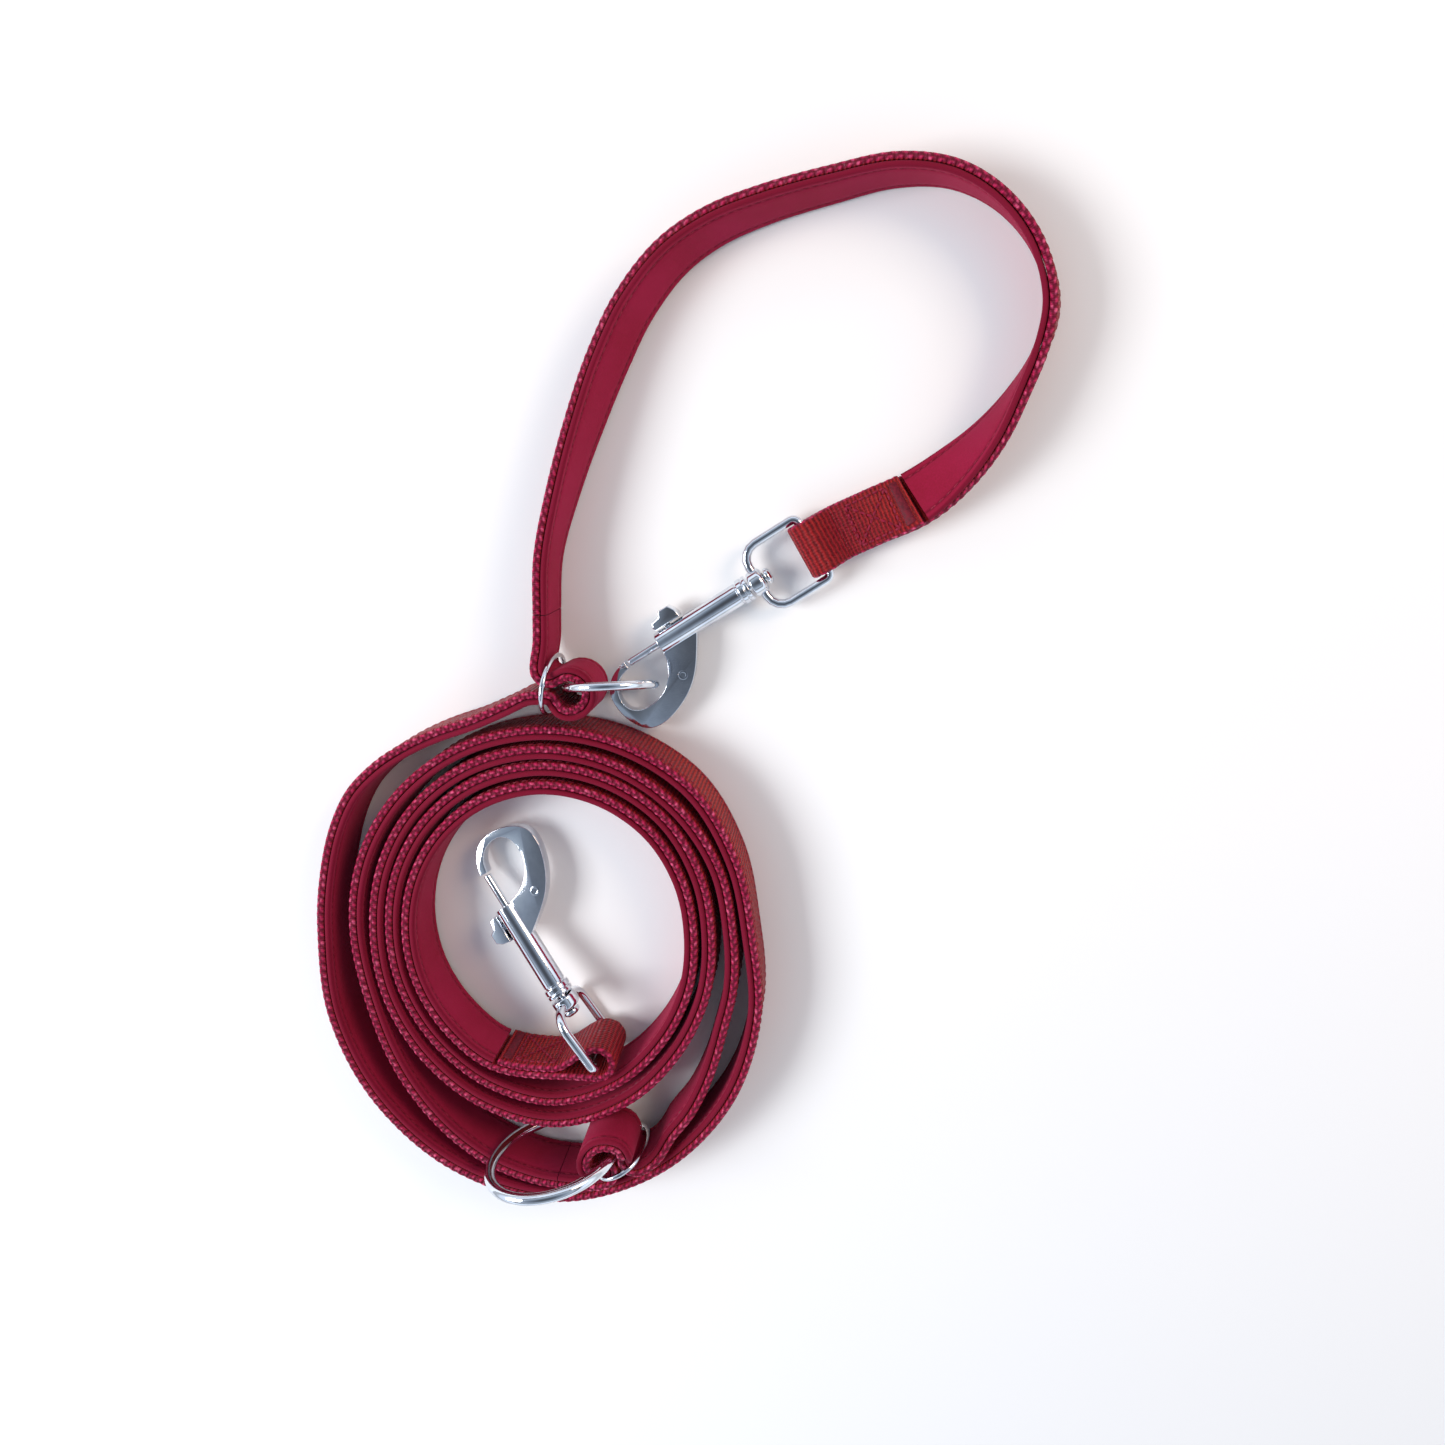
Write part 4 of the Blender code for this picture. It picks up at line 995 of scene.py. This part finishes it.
def build_snap(snap, chrome):
    prefix = snap["prefix"]
    heading = math.radians(snap["heading"])
    level = Vector((math.cos(heading), math.sin(heading), 0))
    bar = Vector(snap["bar"])
    bar_axis = Vector((0, 0, 1)) if snap["bar_upright"] else Vector((-level.y, level.x, 0))
    eye_frame = frame_from(bar, level, bar_axis.cross(level))
    boss = bar + level * EYE_LENGTH
    droop = math.radians(snap["droop"])
    forward = level * math.cos(droop) - Vector((0, 0, 1)) * math.sin(droop)
    belly = Vector((-level.y, level.x, 0)) * snap["belly"]
    place = frame_from(boss, forward, belly)

    sheaf = Sheaf()
    path = [eye_frame @ Vector((x, 0, z)) for x, z in eye_path()]
    sheaf.tube(path, EYE_WIRE / 2, WIRE_SIDES, True, (eye_frame.to_3x3() @ Vector((0, 1, 0))))
    half, rim, bore = BOSS_LENGTH / 2, BOSS_DIAMETER / 2, BOSS_BORE / 2
    low, high = EYE_LENGTH - half, EYE_LENGTH + half
    ring = rounded_profile([(low, bore), (low, rim - 0.9), (low + 1.1, rim), (high, rim), (high, bore)], 0.7)
    sheaf.turned(ring, eye_frame, ring=True)
    sheaf.build(prefix + "_bent_eye", chrome, prefix + "_eyelet", [prefix + "_eye"])

    outer, collar = BARREL_DIAMETER / 2, COLLAR_DIAMETER / 2
    end = COLLAR_START + COLLAR_LENGTH
    cut_start, cut_end, cut_depth = COLLAR_GROOVE
    bore, bore_end = BOLT_BORE_DIAMETER / 2, BARREL_FRONT - DRAWN_BORE
    profile = [(COLLAR_START + 0.02, 0.0), (COLLAR_START, collar), (COLLAR_START + cut_start, collar),
               (COLLAR_START + cut_start, collar - cut_depth), (COLLAR_START + cut_end, collar - cut_depth),
               (COLLAR_START + cut_end, collar), (end, collar), (end, outer - 0.3),
               (end + GROOVE_LENGTH, outer - 0.3), (end + GROOVE_LENGTH, outer), (BARREL_FRONT, outer),
               (BARREL_FRONT, bore), (bore_end, bore), (bore_end, 0.0)]
    sheaf = Sheaf()
    sheaf.turned(rounded_profile(profile, 0.3), place)
    barrel = sheaf.build(
        prefix + "_barrel", chrome, prefix + "_snap", [prefix + "_snap_body"], METAL_SHARP)
    cutter_mesh = bpy.data.meshes.new(prefix + "_slot_shape")
    work = bmesh.new()
    slot_end = STEM_CENTRE + STEM_LENGTH / 2 + SLOT_CLEARANCE
    slot_start = STEM_CENTRE - STEM_LENGTH / 2 - SLOT_CLEARANCE - BOLT_TRAVEL
    middle = Matrix.Translation(((slot_start + slot_end) / 2, -BARREL_DIAMETER / 2 - 1.0, 0))
    size = Matrix.Diagonal((slot_end - slot_start, BARREL_DIAMETER, SLOT_WIDTH, 1.0))
    bmesh.ops.create_cube(work, size=1.0, matrix=place @ middle @ size)
    for vert in work.verts:
        vert.co = in_row(vert.co)
    work.to_mesh(cutter_mesh)
    work.free()
    cutter = bpy.data.objects.new(prefix + "_slot_shape", cutter_mesh)
    bpy.context.collection.objects.link(cutter)
    cut = barrel.modifiers.new("Slot", "BOOLEAN")
    cut.operation, cut.object, cut.solver = "DIFFERENCE", cutter, "EXACT"
    depsgraph = bpy.context.evaluated_depsgraph_get()
    finished = bpy.data.meshes.new_from_object(barrel.evaluated_get(depsgraph))
    barrel.modifiers.clear()
    barrel.data = finished
    bpy.data.objects.remove(cutter)

    shape = [(BARREL_FRONT + x, y) for x, y in rounded_outline(HOOK_OUTLINE, HOOK_CORNERS, 6)]
    prism(shape, HOOK_THICKNESS, place, prefix + "_cast_hook", chrome, prefix + "_snap", HOOK_RIM)
    dimple = Sheaf()
    for side in (-1, 1):
        along, across = DIMPLE_PLACE
        face = side * (HOOK_THICKNESS / 2 - 0.1)
        spot = place @ Matrix.Translation((BARREL_FRONT + along, across, face))
        turn = spot @ Matrix.Rotation(math.radians(-90 * side), 4, "Y")
        dimple.turned(DIMPLE_PROFILE, turn, 32)
    dimple.build(prefix + "_hook_dimples", chrome, prefix + "_snap")

    diameter, height = RIVET_HEAD
    face = -BOSS_LENGTH / 2 - 0.8
    shaft = RIVET_SHAFT / 2
    tip = COLLAR_START + REAR_BORE[1] - GAP
    sheaf = Sheaf()
    profile = [(face - height, 0.0), (face - height, diameter / 2 - 1.0), (face - 1.1, diameter / 2),
               (face, diameter / 2), (face, shaft), (tip, shaft), (tip, 0.0)]
    sheaf.turned(rounded_profile(profile, 0.35), place)
    sheaf.build(
        prefix + "_peened_rivet", chrome, prefix + "_snap", [prefix + "_swivel_rivet"], METAL_SHARP)

    radius = BOLT_DIAMETER / 2
    sheaf = Sheaf()
    profile = [(BOLT_REAR, 0.0), (BOLT_REAR, radius), (BOLT_TIP, radius), (BOLT_TIP, 0.0)]
    sheaf.turned(rounded_profile(profile, 0.5), place, 40)
    sheaf.build(prefix + "_bolt_rod", chrome, prefix + "_latch", [prefix + "_bolt"], METAL_SHARP)
    knob = [(STEM_CENTRE + x, y) for x, y in KNOB_OUTLINE]
    prism(knob, KNOB_THICKNESS, place, prefix + "_cast_knob", chrome, prefix + "_latch", KNOB_RIM,
          [prefix + "_thumb_knob"])
    corners = ((-1, -5.2), (1, -5.2), (1, -1.2), (-1, -1.2))
    stem = [(STEM_CENTRE + x * STEM_LENGTH / 2, y) for x, y in corners]
    prism(stem, STEM_THICKNESS, place, prefix + "_knob_stem", chrome, prefix + "_latch", STEM_RIM)
    start, end = BOLT_BORE_START + GAP + SPRING_WIRE / 2, BOLT_REAR - GAP - SPRING_WIRE / 2
    radius = (SPRING_DIAMETER - SPRING_WIRE) / 2
    steps = SPRING_TURNS * SPRING_STEPS
    path = []
    for i in range(steps + 1):
        turn = 2 * math.pi * SPRING_TURNS * i / steps
        along = start + (end - start) * i / steps
        path.append(place @ Vector((along, radius * math.cos(turn), radius * math.sin(turn))))
    sheaf = Sheaf()
    sheaf.tube(path, SPRING_WIRE / 2, 8)
    spring = sheaf.build(
        prefix + "_wound_spring", chrome, prefix + "_latch", [prefix + "_bolt_spring"])
    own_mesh(spring)


# ---------------------------------------------------------------- stage
def add_camera():
    camera = bpy.data.cameras.new("camera")
    camera.sensor_width = 36.0
    camera.lens = CAMERA_LENS
    camera.shift_x, camera.shift_y = CAMERA_SHIFT
    camera.clip_start = 0.01
    eye = bpy.data.objects.new("camera", camera)
    place, target = in_row(CAMERA_PLACE), in_row(CAMERA_TARGET)
    back = (place - target).normalized()
    up = Vector((0, back.z, -back.y)).normalized()
    right = up.cross(back)
    up = back.cross(right)
    rotation = Matrix((right, up, back)).transposed().to_4x4()
    eye.matrix_world = Matrix.Translation(place) @ rotation
    bpy.context.collection.objects.link(eye)
    bpy.context.scene.camera = eye


def add_light(name, place, target, size, power, colour):
    light = bpy.data.lights.new(name, "AREA")
    light.shape = "RECTANGLE"
    light.size, light.size_y = size
    light.energy = power
    light.color = colour
    lamp = bpy.data.objects.new(name, light)
    lamp.location = place
    lamp.rotation_euler = (Vector(target) - Vector(place)).to_track_quat("-Z", "Y").to_euler()
    bpy.context.collection.objects.link(lamp)


def add_stage():
    low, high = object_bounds()
    middle = ((low[0] + high[0]) / 2, (low[1] + high[1]) / 2, 0)
    mesh = bpy.data.meshes.new("floor")
    corners = ((-1, -1), (1, -1), (1, 1), (-1, 1))
    mesh.from_pydata([(x * FLOOR_REACH, y * FLOOR_REACH, low[2]) for x, y in corners], [], [(0, 1, 2, 3)])
    mesh.materials.append(floor_material())
    floor = bpy.data.objects.new("floor", mesh)
    bpy.context.collection.objects.link(floor)
    add_light("key", KEY_PLACE, middle, KEY_SIZE, KEY_POWER, (0.97, 0.98, 1.0))
    add_light("warm", WARM_PLACE, middle, WARM_SIZE, WARM_POWER, (1.0, 0.72, 0.5))
    world = bpy.data.worlds.new("studio")
    world.use_nodes = True
    tree = world.node_tree
    split = tree.nodes.new("ShaderNodeSeparateXYZ")
    tree.links.new(tree.nodes.new("ShaderNodeTexCoord").outputs["Generated"], split.inputs[0])
    ramp = tree.nodes.new("ShaderNodeValToRGB").color_ramp
    node = tree.nodes["Color Ramp"]
    tree.links.new(split.outputs["Z"], node.inputs["Fac"])
    ramp.elements[0].position, ramp.elements[0].color = SKY[0]
    ramp.elements[1].position, ramp.elements[1].color = SKY[-1]
    for position, colour in SKY[1:-1]:
        ramp.elements.new(position).color = colour
    tree.links.new(node.outputs["Color"], tree.nodes["Background"].inputs["Color"])
    tree.nodes["Background"].inputs["Strength"].default_value = SKY_STRENGTH
    bpy.context.scene.world = world
    bpy.context.scene.view_settings.view_transform = "Standard"


def main():
    add_camera()
    webbing, lining, chrome = webbing_material(), lining_material(), chrome_material()
    thread = thread_material("sewing_thread", (0.17, 0.004, 0.02), (0.36, 0.015, 0.05))
    dark_thread = thread_material("bar_tack_thread", (0.09, 0.002, 0.010), (0.20, 0.006, 0.02))
    build_strap(webbing, lining, thread, dark_thread)
    build_rings(chrome)
    build_snap(END_SNAP, chrome)
    build_snap(START_SNAP, chrome)
    add_stage()


main()
